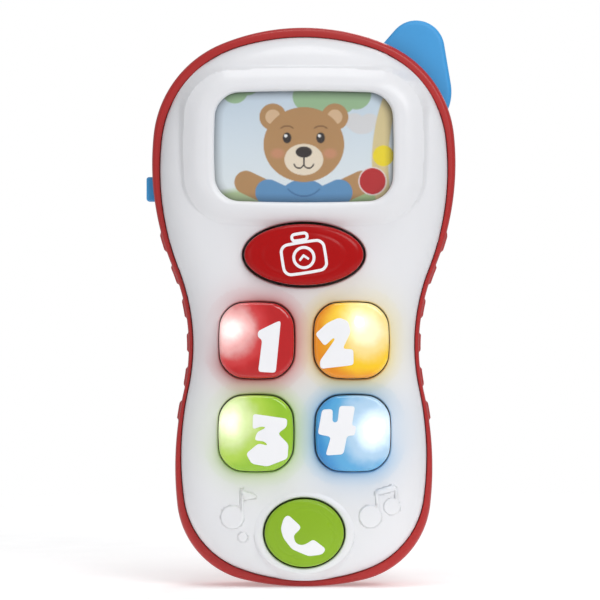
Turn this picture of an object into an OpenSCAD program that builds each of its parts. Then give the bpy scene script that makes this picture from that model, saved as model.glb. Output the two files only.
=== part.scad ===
// Toddler's toy telephone that stands upright: +Z towards the antenna end, the face looks along -Y,
// x = 0 on the plane of symmetry of the casing and z = 0 at the lowest point of the casing.

/* [Casing outline] */
// Radius of the arc over the top
top_r = 58.5; // [50:0.5:70]
// Half angle of the arc over the top
top_deg = 22.3; // [18:0.1:24]
// Radius of the shoulders
shoulder_r = 30; // [26:0.5:34]
// Angle that each shoulder turns
shoulder_deg = 61.7; // [58:0.1:64]
// Radius of the sides beside the screen
side_r = 74; // [65:0.5:85]
// Angle that each side beside the screen turns
side_deg = 28.6; // [27:0.1:30]
// Radius of the hollow of the waist
waist_r = 55; // [48:0.5:62]
// Angle that the waist turns back
waist_deg = 35.4; // [34:0.1:37]
// Radius of the sides beside the lower keys
lobe_r = 92; // [80:0.5:110]
// Angle that the sides beside the lower keys turn
lobe_deg = 19.2; // [17:0.1:21]
// Radius of the lower corners
corner_r = 23.4; // [20:0.1:27]
// Angle that each lower corner turns
corner_deg = 70.5; // [66:0.1:72]

/* [Face outline] */
// Width of the red rim at the very top
rim_top = 2.8; // [2.4:0.1:3.2]

/* [Depths] */
// Distance from the middle plane to the flat of the back
back_y = 18; // [16:0.5:22]
// Distance from the middle plane to the crest of the red rim
rim_y = 5; // [4:0.5:6]
// Distance from the middle plane to the flat of the white face
face_y = 13.5; // [12.5:0.5:15]
// Wall of both shells
wall = 2; // [1.6:0.1:2.4]

/* [Screen] */
// Height of the middle of the screen
screen_z = 118.5; // [117:0.1:120]
// Width of the raised bezel
bezel_w = 64.5; // [62:0.5:66]
// Height of the raised bezel
bezel_h = 42.5; // [41:0.5:44]
// Width of the clear window that shows
window_w = 48; // [46:0.2:49]
// Height of the clear window that shows
window_h = 29.8; // [29:0.2:31]
// How far the bezel stands proud of the face
bezel_rise = 2.4; // [1.5:0.1:3]

/* [Buttons] */
// How far every button travels
travel = 1.5; // [0.8:0.1:1.5]
// Clear gap round the keys
key_gap = 0.3; // [0.2:0.05:0.5]
// Width and height of a key
key_size = [20, 20.3]; // [19.6:0.1:20.6]
// Width of the camera button
camera_w = 31.8; // [30:0.1:32.4]
// Height of the camera button
camera_h = 16.3; // [15:0.1:16.5]
// Width of the call button
call_w = 21.2; // [20.5:0.1:22]
// Height of the call button
call_h = 18.1; // [17.4:0.1:18.6]

/* [Antenna and side slider] */
// Swing of the antenna to each side
swing = 10; // [4:1:10]
// Middle of the side slider at rest
slider_z = 107.6; // [106:0.1:109]
// How far the side slider moves up
slider_travel = 5; // [3:0.5:5]

/* [Battery bay] */
// Width of the battery door
door_w = 31.4; // [31:0.1:33]
// Height of the battery door
door_h = 63; // [62.5:0.1:64]

/* [Hidden] */
$fn = 32;
// Overlap that joins two solids, and clear gap between parts that sit together
eps = 0.01;
gap = 0.15;
bezel_size = [bezel_w, bezel_h];
window_size = [window_w, window_h];
camera_size = [camera_w, camera_h];
call_size = [call_w, call_h];
door_size = [door_w, door_h];
// Middles, across and up. The keys and their lamps are numbered in reading order, and each lamp is off its
// key's middle
screen_at = [0, screen_z];
camera_at = [0, 89.6];
key_at = [[-12.6, 66.7], [12.7, 66.7], [-12.8, 41.9], [13.1, 41.9]];
lamp_off = [[-6.4, 2.2], [3.4, 5.2], [-6.6, 2.6], [5.4, 1.6]];
call_at = [0.1, 15.2];
pivot_at = [27.3, 134.2];

// ---- Outlines: chains of tangent arcs, walked clockwise from the top middle to the bottom middle ----
arc_steps = [4, 10, 5, 6, 4, 11, 2];
casing_arcs = [[top_r, top_deg], [shoulder_r, shoulder_deg], [side_r, side_deg],
    [-waist_r, waist_deg], [lobe_r, lobe_deg], [corner_r, corner_deg]];
// What is added to each casing arc to get the face's, so that the rim is narrow at the waist and wide at the
// corners
face_trim = [[1, -4.6], [-0.7, 4.1], [-0.4, -0.7], [-0.9, -1.65], [-7, 0.9], [-0.1, -9.45]];
face_arcs = casing_arcs + face_trim;
function inward(h) = [-sin(h), -cos(h)];
function arc(p, h, a, n) = let (c = p + a[0] * inward(h))
    [for (i = [1:n]) let (g = h + sign(a[0]) * a[1] * i / n) [c - a[0] * inward(g), g]];
function walk(arcs, p, h, k = 0) = k == len(arcs) ? [] :
    let (run = arc(p, h, arcs[k], arc_steps[k]), end = run[len(run) - 1])
    concat(run, walk(arcs, end[0], end[1], k + 1));
function half(arcs, top_z) =
    let (six = walk(arcs, [0, top_z], 0), end = six[len(six) - 1], rest = 180 - end[1])
    concat([[[0, top_z], 0]], six, arc(end[0], end[1], [end[0][0] / sin(rest), rest], arc_steps[6]));
function both(side) = let (n = len(side))
    concat(side, [for (i = [n - 2:-1:1]) [[-side[i][0][0], side[i][0][1]], -side[i][1]]]);
function lowest(side) = side[len(side) - 1][0][1];
casing_h = -lowest(half(casing_arcs, 0));
casing = both(half(casing_arcs, casing_h));
face = both(half(face_arcs, casing_h - rim_top));
// Ring of 3-D points: an outline drawn in by d and laid at depth y
function ring(line, d, y) = [for (q = line) let (p = q[0] + d * inward(q[1])) [p[0], y, p[1]]];
function flat(line, d = 0) = [for (q = line) q[0] + d * inward(q[1])];

// Rounded rectangle whose sides bow out, as points round its middle
function round_box(w, h, r) = [for (c = [0:3], i = [0:9]) let (
    sx = c == 0 || c == 3 ? 1 : -1, sz = c < 2 ? 1 : -1, a = 90 * c + 90 * min(i, 6) / 6,
    corner = [sx * (w / 2 - r) + r * cos(a), sz * (h / 2 - r) + r * sin(a)],
    next = c % 2 == 0 ? [-corner[0], corner[1]] : [corner[0], -corner[1]])
    i <= 6 ? corner : corner + (next - corner) * (i - 6) / 4];
function bowed(size, r, bow) = let (w = size[0] - 2 * bow, h = size[1] - 2 * bow)
    [for (p = round_box(w, h, r)) [
        p[0] + sign(p[0]) * bow * (1 - pow(2 * p[1] / h, 2)),
        p[1] + sign(p[1]) * bow * (1 - pow(2 * p[0] / w, 2))]];
function oval(size, n = 48) = [for (i = [0:n - 1])
    [size[0] / 2 * cos(360 * i / n), size[1] / 2 * sin(360 * i / n)]];
function grown(size, d) = [size[0] + 2 * d, size[1] + 2 * d];

// Solid through rings of equal counts, flat at both ends
module loft(rings) {
    n = len(rings[0]);
    m = len(rings);
    sides = [for (j = [0:m - 2], i = [0:n - 1], t = [0, 1]) let (a = j * n + i, b = j * n + (i + 1) % n)
        t == 0 ? [a, b, b + n] : [a, b + n, a + n]];
    ends = [[for (i = [n - 1:-1:0]) i], [for (i = [0:n - 1]) (m - 1) * n + i]];
    polyhedron([for (r = rings, p = r) p], concat(sides, ends));
}
// Flat outline of the x-z plane made into a slab from depth y0 forward to y1
module slab(y0, y1) {
    translate([0, y0, 0]) rotate([90, 0, 0]) linear_extrude(y0 - y1) children();
}
module rod(at, r, y0, y1) {
    translate([at[0], y0, at[1]]) rotate([90, 0, 0]) cylinder(r = r, h = y0 - y1);
}
// Cap with a rounded front edge and a low crown, from depth y0 forward to y1. Each step is [how far the outline is
// drawn in, how far it lies behind the crown], and outline(d) gives the outline drawn in by d
cap_steps = [[5, 0], [2.6, 0.1], [1, 0.35], [0.3, 0.9], [0, 2.2]];
module cap(at, outline, y0, y1, edge = 1) {
    function laid(d, y) = [for (p = outline(d)) [at[0] + p[0], y, at[1] + p[1]]];
    loft(concat([for (s = cap_steps) laid(s[0] * edge, y1 + s[1])], [laid(0, y0)]));
}

// ---- Front shell ----
dome_steps = [[0, 0], [0.35, 2.3], [1.2, 4.4], [2.8, 6.4], [5.5, 8], [9.5, 9.05], [15, 9.5]];
dome_base = face_y - 9.5;
// Rings of the domed face, drawn in by d and moved forward by rise, from a base ring at depth base
function dome(base, d, rise) = concat([ring(face, d, base)],
    [for (s = dome_steps) ring(face, s[0] + d, -dome_base - s[1] - rise)]);
bezel_y = -face_y - bezel_rise;
collar_y = -face_y - 0.5;
boss_at = [[32.2, 116], [-31.5, 124], [24.5, 21.5], [-24.5, 21.5]];
boss_r = 3.4;
boss_front = -dome_base - 6.2;
// Pegs that carry the circuit board, and the thickness of the guide wall round each key
peg_at = [[17, 25], [-17, 25], [20.5, 94], [-20.5, 94]];
peg_r = 2;
pin_r = 1;
guide_t = 1.2;
collar_size = [27, 22.2];
note_rise = 0.45;
// Music notes in relief: heads, stems and a flag or beam
module notes() {
    translate([-19.1, 19.4]) circle(r = 3.2);
    translate([-16.4, 14]) circle(r = 1.4);
    translate([-17.1, 19.4]) square([1.1, 7.6]);
    polygon([[-17.1, 27], [-12.7, 25.6], [-12.5, 24.6], [-16, 23.8]]);
    translate([17.8, 19.6]) circle(r = 3.1);
    translate([23.6, 22.2]) circle(r = 2.3);
    translate([19.8, 19.6]) rotate(6) square([1.1, 7]);
    translate([24.8, 22.4]) rotate(8) square([1, 5]);
    polygon([[19, 26.6], [24, 28.2], [25, 26.6], [20.1, 25.2]]);
}
module face_openings() {
    slab(0, -30) translate(screen_at) polygon(bowed(window_size, 6, 0.6));
    slab(0, -30) translate(camera_at) polygon(oval(grown(camera_size, camera_gap)));
    for (k = key_at) slab(0, -30) translate(k) key_line(key_gap);
    slab(0, -30) translate(call_at) polygon(oval(grown(call_size, call_gap)));
}
module front_shell() color("white") {
    difference() {
        union() {
            loft(dome(-2, 0, 0));
            cap(screen_at, function(d) bowed(grown(bezel_size, -d), 10.5 - d, 1.6), -8, bezel_y);
            cap(call_at, function(d) oval(grown(collar_size, -d)), -7, collar_y, 0.7);
            intersection() {
                slab(-9, -20) notes();
                loft(dome(-2, 0.3, note_rise));
            }
        }
        difference() {
            loft(dome(0, wall, -wall));
            slab(1, -30) translate(screen_at) polygon(bowed(grown(window_size, 4), 8, 0.6));
            slab(-8, -30) translate(call_at) polygon(oval(grown(call_size, 2.7)));
            for (k = key_at) slab(key_flange - gap, -30) translate(k) key_line(key_gap + guide_t);
        }
        slab(1, bezel_y + 1.6) translate(screen_at) polygon(bowed(grown(window_size, 2.4), 6.4, 0.6));
        slab(1, collar_y + wall) translate(call_at) polygon(oval(grown(call_size, 1.7)));
        for (k = key_at) slab(1, key_flange - gap) translate(k) key_line(flange_out + 0.3);
        face_openings();
    }
    for (b = boss_at) difference() {
        rod(b, boss_r, -1, boss_front);
        rod(b, 1.25, -1 + eps, -8);
    }
    for (p = peg_at) {
        rod(p, peg_r, board_y - gap, -face_y + wall - 0.5);
        rod(p, pin_r, board_y + board_t + 0.8, board_y - gap - eps);
    }
}

// ---- Rear shell ----
// Each step is [how far the ring is drawn in, its depth], from the back to the front
rim_steps = [[8, back_y], [4.8, 17.2], [2.2, 15.1], [0.6, 12], [0, 8.5],
    [0, -rim_y + 2], [0.2, -rim_y + 0.8], [0.7, -rim_y + 0.15], [1.2, -rim_y]];
cavity_steps = [[9, back_y - wall], [6.6, 15.6], [4.2, 13.8], [2.7, 11], [wall + 0.1, 8], [wall + 0.1, -1.5]];
rib_z = [93.1, 84.3, 75.2, 66, 56.8, 47.6];
rib_size = [5.4, 12];
rib_rise = 0.5;
grille_at = [0, 118];
bay_size = [26, 50];
bay_z = 57;
bay_floor = 3.5;
bay_wall = 1.5;
door_z = 60;
door_floor = 1.2;
screw_z = 87;
// Tubes for the case screws, their holes and where the screw heads sit
tube_r = 3.9;
screw_hole_r = 1.6;
head_hole_r = 3;
head_seat_y = 12.5;
// Post of the antenna: its foot, its pin and the pilot hole for the screw
post_foot_r = 3.2;
post_r = 2;
pilot_r = 0.8;
slider_y = 3;
slider_rise = 2;
antenna_y = 4;
antenna_t = 6;
speaker_r = 14;
tab_size = [1.6, 0.8];
tab_at = [9.5, bay_floor + 2.4];
antenna_tip_at = [30.6, 145.9];
antenna_tip_r = 7.7;
antenna_hub_r = 12.9;
module antenna_line(grow = 0) {
    hull() {
        translate(antenna_tip_at) circle(r = antenna_tip_r + grow);
        translate(pivot_at) circle(r = antenna_hub_r + grow);
    }
}
module swung(a) {
    translate([pivot_at[0], pivot_at[1]]) rotate(a) translate([-pivot_at[0], -pivot_at[1]]) children();
}
// Half width of the casing at a given height, and the direction of its side there
function edge_at(z) = let (
    near = [for (i = [0:len(casing) / 2 - 2]) if (casing[i][0][1] >= z && casing[i + 1][0][1] < z) i][0],
    p = casing[near][0], q = casing[near + 1][0], t = (p[1] - z) / (p[1] - q[1]))
    [p[0] + (q[0] - p[0]) * t, atan2(q[1] - p[1], q[0] - p[0])];
wall_x = -edge_at(slider_z)[0];
switch_x = wall_x + 7.3;
switch_size = [3.6, 3.8];
switch_board_t = 1.2;
module grip_ribs() {
    half_l = rib_size[0] / 2;
    for (z = rib_z, side = [-1, 1]) {
        e = edge_at(z);
        translate([side * e[0], 0, z]) rotate([0, side * (-90 - e[1]), 0])
            slab(3 + rib_size[1] / 2, 3 - rib_size[1] / 2) scale([side, 1])
                polygon([[-1, -half_l], [0.1, -half_l], [rib_rise, 0.6 - half_l], [rib_rise, half_l - 0.6],
                    [0.1, half_l], [-1, half_l]]);
    }
}
grille_pitch = 3.6;
grille_hole_r = 1;
module grille_holes() {
    rod(grille_at, grille_hole_r, 20, 12);
    for (row = [1:3], i = [0:6 * row - 1])
        rod(grille_at + grille_pitch * row * [cos(60 * i / row), sin(60 * i / row)], grille_hole_r, 20, 12);
}
module door_line(d = 0) {
    translate([0, door_z]) polygon(bowed(grown(door_size, d), 4, 0.3));
}
module rear_shell() color("firebrick") {
    difference() {
        union() {
            loft([for (s = rim_steps) ring(casing, s[0], s[1])]);
            grip_ribs();
        }
        slab(-1.5 + eps, -7) polygon(flat(face, -gap));
        difference() {
            loft([for (s = cavity_steps) ring(casing, s[0], s[1])]);
            slab(20, bay_floor - bay_wall) translate([0, bay_z]) square(grown(bay_size, bay_wall), center = true);
            slab(20, back_y - wall - door_floor) door_line(1.5);
            rod([0, screw_z], 3.4, 20, 8);
            difference() {
                rod(grille_at, speaker_r + 1.8, 20, 12);
                rod(grille_at, speaker_r + 0.3, 21, 11);
            }
        }
        slab(20, bay_floor) translate([0, bay_z]) square(bay_size, center = true);
        slab(20, back_y - wall) door_line(0.2);
        rod([0, screw_z], 1.45, 20, 9);
        grille_holes();
        for (b = boss_at) {
            rod(b, 1.6, 20, 0);
            rod(b, 3, 20, 12.5);
        }
        // Slot for the antenna in the side wall, open over its whole swing
        slab(antenna_y + antenna_t / 2 + 0.35, antenna_y - antenna_t / 2 - 0.35) difference() {
            union() for (a = [-swing, 0, swing]) swung(a) antenna_line(0.4);
            polygon(flat(casing, wall + 0.6));
        }
        // Slot for the side slider
        translate([-45, slider_y - 3.3, slider_z - 3.6]) cube([9, 6.6, slider_travel + 7.2]);
        // Slots for the solder tabs of the battery contacts
        for (side = [-1, 1]) translate([side * tab_at[0], tab_at[1], bay_z + bay_size[1] / 2 + bay_wall / 2])
            cube([tab_size[0] + 0.4, tab_size[1] + 0.4, bay_wall + 1], center = true);
    }
    // Tubes that carry the case screws, standing on the back wall
    for (b = boss_at) difference() {
        rod(b, tube_r, back_y - wall + 0.4, -0.4);
        rod(b, screw_hole_r, 20, -1);
        rod(b, head_hole_r, 20, head_seat_y);
    }
    // Rest with a groove for the edge of the switch's board
    difference() {
        translate([switch_x + switch_size[0] - 1, 6.5, slider_z - 5])
            cube([switch_board_t + 2, back_y - wall - 6.1, 15]);
        translate([switch_x + switch_size[0] - gap, 0, slider_z - 10])
            cube([switch_board_t + 2 * gap, slider_y + 5 + gap, 30]);
    }
    // Post on which the antenna turns
    difference() {
        rod(pivot_at, post_foot_r, 16.5, antenna_y + antenna_t / 2 + 0.3);
        rod(pivot_at, pilot_r, 9, 2);
    }
    difference() {
        rod(pivot_at, post_r, antenna_y + antenna_t / 2 + 0.3 + eps, antenna_y - antenna_t / 2 - 0.2);
        rod(pivot_at, pilot_r, 9, 0);
    }
}

// ---- Screen ----
module screen_window() color("aliceblue", 0.4) {
    slab(bezel_y + 2.9, bezel_y + 1.7) translate(screen_at) polygon(bowed(grown(window_size, 2), 6.2, 0.6));
}
module picture_card() color("lightblue") {
    slab(bezel_y + 3.5, bezel_y + 3) translate(screen_at) polygon(bowed(grown(window_size, 2), 6.2, 0.6));
}
module picture_frame() color("dimgray") {
    slab(bezel_y + 5, bezel_y + 3.6) translate(screen_at) difference() {
        polygon(bowed(grown(window_size, 2), 6.2, 0.6));
        circle(r = 4);
    }
    for (side = [-5.5, 5.5]) rod(screen_at + [side, 0], 1, lamp_board_y - gap, bezel_y + 5 - eps);
}

// ---- Buttons ----
camera_gap = 0.7;
call_gap = 0.45;
flange_y = -face_y + wall + 0.3;
cap_back = flange_y + 1.3;
key_top = -face_y - 2.9;
key_flange = -8.3;
key_back = key_flange + 1.2;
flange_out = 0.8;
stem_end = -8.6;
stem_r = 2.2;
// How far a stem reaches into the roof of its button
root = 0.3;
mark_depth = 0.8;
key_roof = 2.2;
camera_roof = 2.6;
call_roof = 2.4;
module key_line(d = 0) {
    polygon(bowed(grown(key_size, d), 5.1 + d, 0.9));
}
module key_outer(k) {
    cap(key_at[k], function(d) bowed(grown(key_size, -d), 5.1 - d, 0.9), key_back, key_top);
}
numeral_scale = [0.98, 0.96];
module numeral_line(k) {
    lines = [
        [[0.3, 2.6], [0.3, 0.9], [1.4, 0.2], [0.3, -8.5], [5.2, -8.9], [6.6, 5.2], [5.6, 5.2]],
        [[-9.9, 1.8], [-6.6, 4.8], [-3.2, 6.1], [-0.9, 5], [-0.3, 2.4], [-2.4, -2.3], [0.5, -2.5],
            [0.6, -6.8], [-8.3, -7.8], [-8.6, -5.9], [-4.6, 0.2], [-5, 0.6], [-7.3, -1.5]],
        [[-0.8, 5.4], [8.5, 4.1], [8.3, 1.9], [6, 0], [8.7, -3.2], [8.3, -6.8], [3.1, -9], [-1, -8.2],
            [-2.5, -5.8], [0.7, -2.9], [3.3, -3.4], [-0.3, -1.6], [0.4, 0.3], [2.8, 1.6], [-0.9, 1.2]],
        [[-8.4, 6.6], [-5.5, 6.7], [-5.4, 3.2], [-4.3, 3.2], [-3.6, 7.6], [0.5, 7.5], [-0.3, 2.2], [0.8, 2],
            [0.5, -0.5], [-1.6, -0.5], [-2.6, -5.7], [-7.4, -6], [-6.1, -0.8], [-9.5, -0.2]]];
    translate(key_at[k]) offset(r = 0.35) offset(delta = -0.35) scale(numeral_scale) polygon(lines[k]);
}
module key(k, tone) color(tone, 0.8) {
    difference() {
        union() {
            key_outer(k);
            slab(key_back, key_flange) translate(key_at[k]) key_line(flange_out);
        }
        slab(key_back + 1, key_top + key_roof) translate(key_at[k])
            polygon(bowed(grown(key_size, -1.5), 3.8, 0.8));
        slab(key_top + mark_depth, key_top - 1) numeral_line(k);
    }
    rod(key_at[k], stem_r, stem_end, key_top + key_roof - root);
}
module numeral(k) color("whitesmoke") {
    intersection() {
        key_outer(k);
        slab(key_top + mark_depth, key_top - 1) numeral_line(k);
    }
}
icon_body = [8.6, 5.2];
icon_turn = 9;
icon_drop = 0.8;
line_w = 0.8;
lens_r = 3.1;
// Simple camera in outline: a body with round corners, a bump on its top and a ring for the lens
module camera_line() {
    translate(camera_at - [0, icon_drop]) rotate(icon_turn) {
        difference() {
            offset(r = 1.9) square(icon_body, center = true);
            offset(r = 1.9 - line_w) square(icon_body, center = true);
        }
        translate([-0.3, 5.6]) difference() {
            offset(r = 0.9) square([3.2, 0.8], center = true);
            square([3, 0.7], center = true);
        }
        difference() {
            circle(r = lens_r);
            circle(r = lens_r - line_w);
        }
        polygon([[-1.5, -0.4], [0, 1], [1.5, -0.4], [1.1, -0.9], [0, 0.1], [-1.1, -0.9]]);
    }
}
camera_top = -face_y - 4;
module camera_outer() {
    cap(camera_at, function(d) oval(grown(camera_size, -d)), cap_back, camera_top, 0.9);
}
module camera_button() color("darkred") {
    difference() {
        union() {
            camera_outer();
            slab(cap_back, flange_y) translate(camera_at) polygon(oval(grown(camera_size, 1.5)));
        }
        slab(cap_back + 1, camera_top + camera_roof) translate(camera_at) polygon(oval(grown(camera_size, -1.8)));
        slab(camera_top + mark_depth, camera_top - 1) camera_line();
    }
    for (side = [-7, 7]) rod(camera_at + [side, 0], stem_r, stem_end, camera_top + camera_roof - root);
}
module camera_mark() color("whitesmoke") {
    intersection() {
        camera_outer();
        slab(camera_top + mark_depth, camera_top - 1) camera_line();
    }
}
module handset_line() {
    outline = [[-4.3, 4.8], [-1, 1.9], [-1.4, 1], [-2.8, -0.6], [-2.2, -2.4], [-0.6, -3.2], [1.2, -2.4], [2.4, -1.7],
        [5.6, -4.1], [4.8, -5.4], [1.3, -6], [-3.2, -4.2], [-5.5, -1.2], [-6.2, 1.2], [-5.4, 4]];
    translate(call_at) offset(r = 0.5) offset(delta = -0.5) polygon(outline);
}
call_top = -face_y - 2.4;
module call_outer() {
    cap(call_at, function(d) oval(grown(call_size, -d)), cap_back, call_top, 0.8);
}
module call_button() color("yellowgreen") {
    difference() {
        union() {
            call_outer();
            slab(cap_back, flange_y) translate(call_at) polygon(oval(grown(call_size, 1.3)));
        }
        slab(cap_back + 1, call_top + call_roof) translate(call_at) polygon(oval(grown(call_size, -1.6)));
        slab(call_top + mark_depth, call_top - 1) handset_line();
    }
    rod(call_at, stem_r, stem_end, call_top + call_roof - root);
}
module handset_mark() color("whitesmoke") {
    intersection() {
        call_outer();
        slab(call_top + mark_depth, call_top - 1) handset_line();
    }
}

// ---- Electronics ----
board_y = -3.6;
board_t = 1.6;
board_back = board_y + board_t;
sheet_t = 0.8;
dome_top = stem_end + travel + 0.1;
dome_at = concat(key_at, [call_at, camera_at + [-7, 0], camera_at + [7, 0]]);
lamp_at = [for (k = [0:3]) key_at[k] + lamp_off[k]];
// Board drawn in by d: kept clear of the shell's skirt and of the bosses of the case screws
module board_line(d = 0) {
    difference() {
        intersection() {
            polygon(flat(face, wall + 0.9 + d));
            translate([0, 53]) square(grown([46, 92], -d), center = true);
        }
        for (b = boss_at) translate(b) circle(r = boss_r + 0.8 + d);
    }
}
module keypad_membrane() color("gainsboro") {
    difference() {
        union() {
            slab(board_y, board_y - sheet_t) board_line(1);
            for (p = dome_at) translate([p[0], board_y - sheet_t + eps, p[1]]) rotate([90, 0, 0])
                cylinder(r1 = 4, r2 = 2.4, h = board_y - sheet_t - dome_top);
        }
        for (p = dome_at) translate([p[0], board_y + eps, p[1]]) rotate([90, 0, 0])
            cylinder(r1 = 3.2, r2 = 1.6, h = 2);
        for (p = lamp_at) rod(p, 1.8, 0, -8);
        for (p = peg_at) rod(p, peg_r + 0.3, 0, -8);
    }
}
module circuit_board() color("seagreen") {
    difference() {
        slab(board_y + board_t, board_y) board_line();
        for (p = peg_at) rod(p, pin_r + 0.2, 0, -6);
    }
}
module sound_chip() color("black") {
    slab(board_y + board_t + 1.2, board_y + board_t) translate([0, 60]) circle(r = 5);
}
module board_components() color("peru") {
    for (i = [0:5]) slab(board_back + 0.6, board_back) translate([-12 + 4.8 * i, 74])
        square([1.2, 2], center = true);
    for (i = [0:3]) slab(board_back + 0.6, board_back) translate([-9 + 6 * i, 46])
        square([2, 1.2], center = true);
    rod([12, 60], 2.5, board_back + 3.4, board_back);
    slab(board_back + 2.4, board_back) translate([-12, 60]) square([6, 3], center = true);
}
module lamp(at, y) {
    rod(at, 1.5, y, y - 2.6);
    translate([at[0], y - 2.6, at[1]]) sphere(r = 1.5);
}
module key_lamps() color("white") {
    for (p = lamp_at) lamp(p, board_y);
}
lamp_board_y = -7;
module screen_lamp() color("white") {
    lamp(screen_at, lamp_board_y);
    slab(lamp_board_y + 0.8, lamp_board_y) translate(screen_at) square([14, 10], center = true);
}

// ---- Speaker ----
module speaker() color("dimgray") {
    translate([grille_at[0], back_y - wall - 0.2, grille_at[1]]) rotate([90, 0, 0]) rotate_extrude()
        polygon([[0, 1.4], [3, 1.6], [11, 0.5], [12.4, 0.2], [12.6, 0], [speaker_r, 0], [speaker_r, 2], [11.6, 2],
            [11, 3.4], [8, 3.4], [8, 6.2], [0, 6.2]]);
}
module speaker_clamp() color("white") {
    difference() {
        rod(grille_at, speaker_r + gap, 13.7, 12.2);
        rod(grille_at, 12, 14, 12);
    }
}

// ---- Antenna ----
module antenna() color("steelblue") {
    difference() {
        slab(antenna_y + antenna_t / 2, antenna_y - antenna_t / 2) antenna_line();
        rod(pivot_at, 2.05, 20, -10);
    }
}
module antenna_washer() color("silver") {
    difference() {
        rod(pivot_at, 4, 0.75, 0.05);
        rod(pivot_at, 1.1, 2, -2);
    }
}
module antenna_screw() color("silver") {
    rod(pivot_at, 1, 0.8, 0);
    rod(pivot_at, 0.78, 8, 0.5);
    difference() {
        rod(pivot_at, 2.3, 0.05, -1.5);
        rod(pivot_at, 0.9, -0.8, -2);
    }
}

// ---- Side slider and its switch ----
module side_slider() color("steelblue") {
    translate([wall_x - slider_rise, slider_y - 3, slider_z - 3.3]) cube([slider_rise + 3, 6, 6.6]);
    translate([wall_x + 3, slider_y - 4.2, slider_z - 6]) cube([1.4, 8.4, 12]);
}
module switch_actuator() color("black") {
    translate([wall_x + 4.4, slider_y - 1, slider_z - 1]) cube([2.6, 2, 2]);
}
module slide_switch() color("silver") {
    translate([switch_x, slider_y - switch_size[1] / 2, slider_z - 3])
        cube([switch_size[0], switch_size[1], 6 + slider_travel]);
}
module switch_board() color("seagreen") {
    translate([switch_x + switch_size[0], slider_y - 5, slider_z - 6])
        cube([switch_board_t, 10, 10 + slider_travel]);
}

// ---- Power: two cells of 44.5 by 10.5 mm ----
cell_l = 44.5;
cell_r = 5.25;
cell_y = bay_floor + cell_r + 0.4;
cell_at = [-6.2, 6.2];
module battery_cells() color("dimgray") {
    for (i = [0, 1]) translate([cell_at[i], cell_y, bay_z]) rotate([180 * i, 0, 0]) {
        translate([0, 0, -cell_l / 2 + 0.6]) cylinder(r = cell_r, h = cell_l - 1.6);
        translate([0, 0, cell_l / 2 - 1]) cylinder(r = 1.9, h = 1);
        translate([0, 0, -cell_l / 2]) cylinder(r = 3.6, h = 0.6);
    }
}
contact_t = 0.5;
contact_z = bay_size[1] / 2 - 0.4;
module battery_contacts() color("silver") {
    translate([0, cell_y, bay_z - contact_z]) cube([21.4, 8, contact_t], center = true);
    for (side = [-1, 1]) {
        translate([side * cell_at[1], cell_y, bay_z + contact_z]) cube([9, 8, contact_t], center = true);
        translate([side * tab_at[0], tab_at[1], bay_z + contact_z + 1.4])
            cube([tab_size[0], tab_size[1], 2.8 + eps], center = true);
    }
}
// Conical coil, widest at its plate
spring_turns = 2.5;
spring_steps = 30;
spring_l = contact_z - contact_t / 2 - cell_l / 2;
spring_r = 0.3;
module battery_springs() color("silver") {
    for (i = [0, 1]) translate([cell_at[i], cell_y, bay_z]) rotate([180 * i, 0, 0])
        wire([for (k = [0:spring_steps]) let (u = k / spring_steps, a = 360 * spring_turns * u, r = 2 + 1.6 * u)
            [r * cos(a), r * sin(a), -cell_l / 2 - 0.38 - (spring_l - 0.76) * u]], spring_r);
}
module battery_door() color("firebrick") {
    difference() {
        union() {
            slab(back_y, back_y - wall + 0.1) door_line();
            for (side = [-1, 1]) slab(back_y - wall + 0.2, 14) translate([side * 12.2, bay_z])
                square([1, 40], center = true);
        }
        rod([0, screw_z], 1.6, 20, 10);
        rod([0, screw_z], 3, 20, back_y - 0.9);
    }
}
module door_screw() color("silver") {
    difference() {
        rod([0, screw_z], 2.7, back_y - 0.05, back_y - 0.85);
        slab(20, back_y - 0.5) translate([0, screw_z]) for (a = [0, 90]) rotate(a)
            square([3.4, 0.8], center = true);
    }
    rod([0, screw_z], 1.3, back_y - 0.8, 9.6);
}
module case_screws() color("silver") {
    for (b = boss_at) {
        difference() {
            rod(b, 2.6, 14.4, 12.6);
            slab(20, 13.6) translate(b) for (a = [0, 90]) rotate(a) square([3.2, 0.8], center = true);
        }
        rod(b, 1.2, 12.7, -7.5);
    }
}
// Round wire through hand-placed points
function unit(v) = v / norm(v);
module wire(path, r) {
    n = len(path);
    function along(i) = unit(path[min(i + 1, n - 1)] - path[max(i - 1, 0)]);
    loft([for (i = [0:n - 1]) let (u = unit(cross(along(i), [0.13, 1, 0.31])), v = cross(along(i), u))
        [for (a = [0:7]) path[i] + r * (u * cos(45 * a) + v * sin(45 * a))]]);
}
wire_r = 0.6;
module battery_wires() color("red") {
    for (side = [-1, 1])
        wire([[side * 6, board_back + 0.1, 87], [side * 6, -0.8, 87], [side * 6.4, 0.3, 87.6], [side * 7.4, 1.6, 88.6],
            [side * 8.6, 3.2, 88.8], [side * 9.3, 4.8, 88], [side * 9.5, tab_at[1], 86.6],
            [side * 9.5, tab_at[1], 84.6]], wire_r);
}
module speaker_wires() color("black") {
    for (side = [-1, 1])
        wire([[side * 4, board_back + 0.1, 92], [side * 4, -0.8, 92], [side * 4.1, 0.4, 93.4], [side * 4.3, 2.2, 97],
            [side * 4.5, 4, 101.5], [side * 4.6, 5.6, 106], [side * 4.6, 7, 110], [side * 4.6, 8.2, 112],
            [side * 4.6, 9.4, 112]], wire_r);
}
module switch_wires() color("red") {
    inner_x = switch_x + switch_size[0] + switch_board_t;
    for (side = [-1, 1])
        wire([[-16 + side, board_back + 0.1, 90], [-16 + side, -0.8, 90], [-16.6 + side, 0.4, 91.4],
            [-18.6 + side, 1.8, 94.6], [-21.4 + side, 2.6, 98.2], [-24.4 + side, 3 + side * 0.8, 101.6],
            [-26.2, 3 + side * 1.5, 103.4], [inner_x + 0.1, 3 + side * 1.5, 103.4]], wire_r);
}
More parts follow.
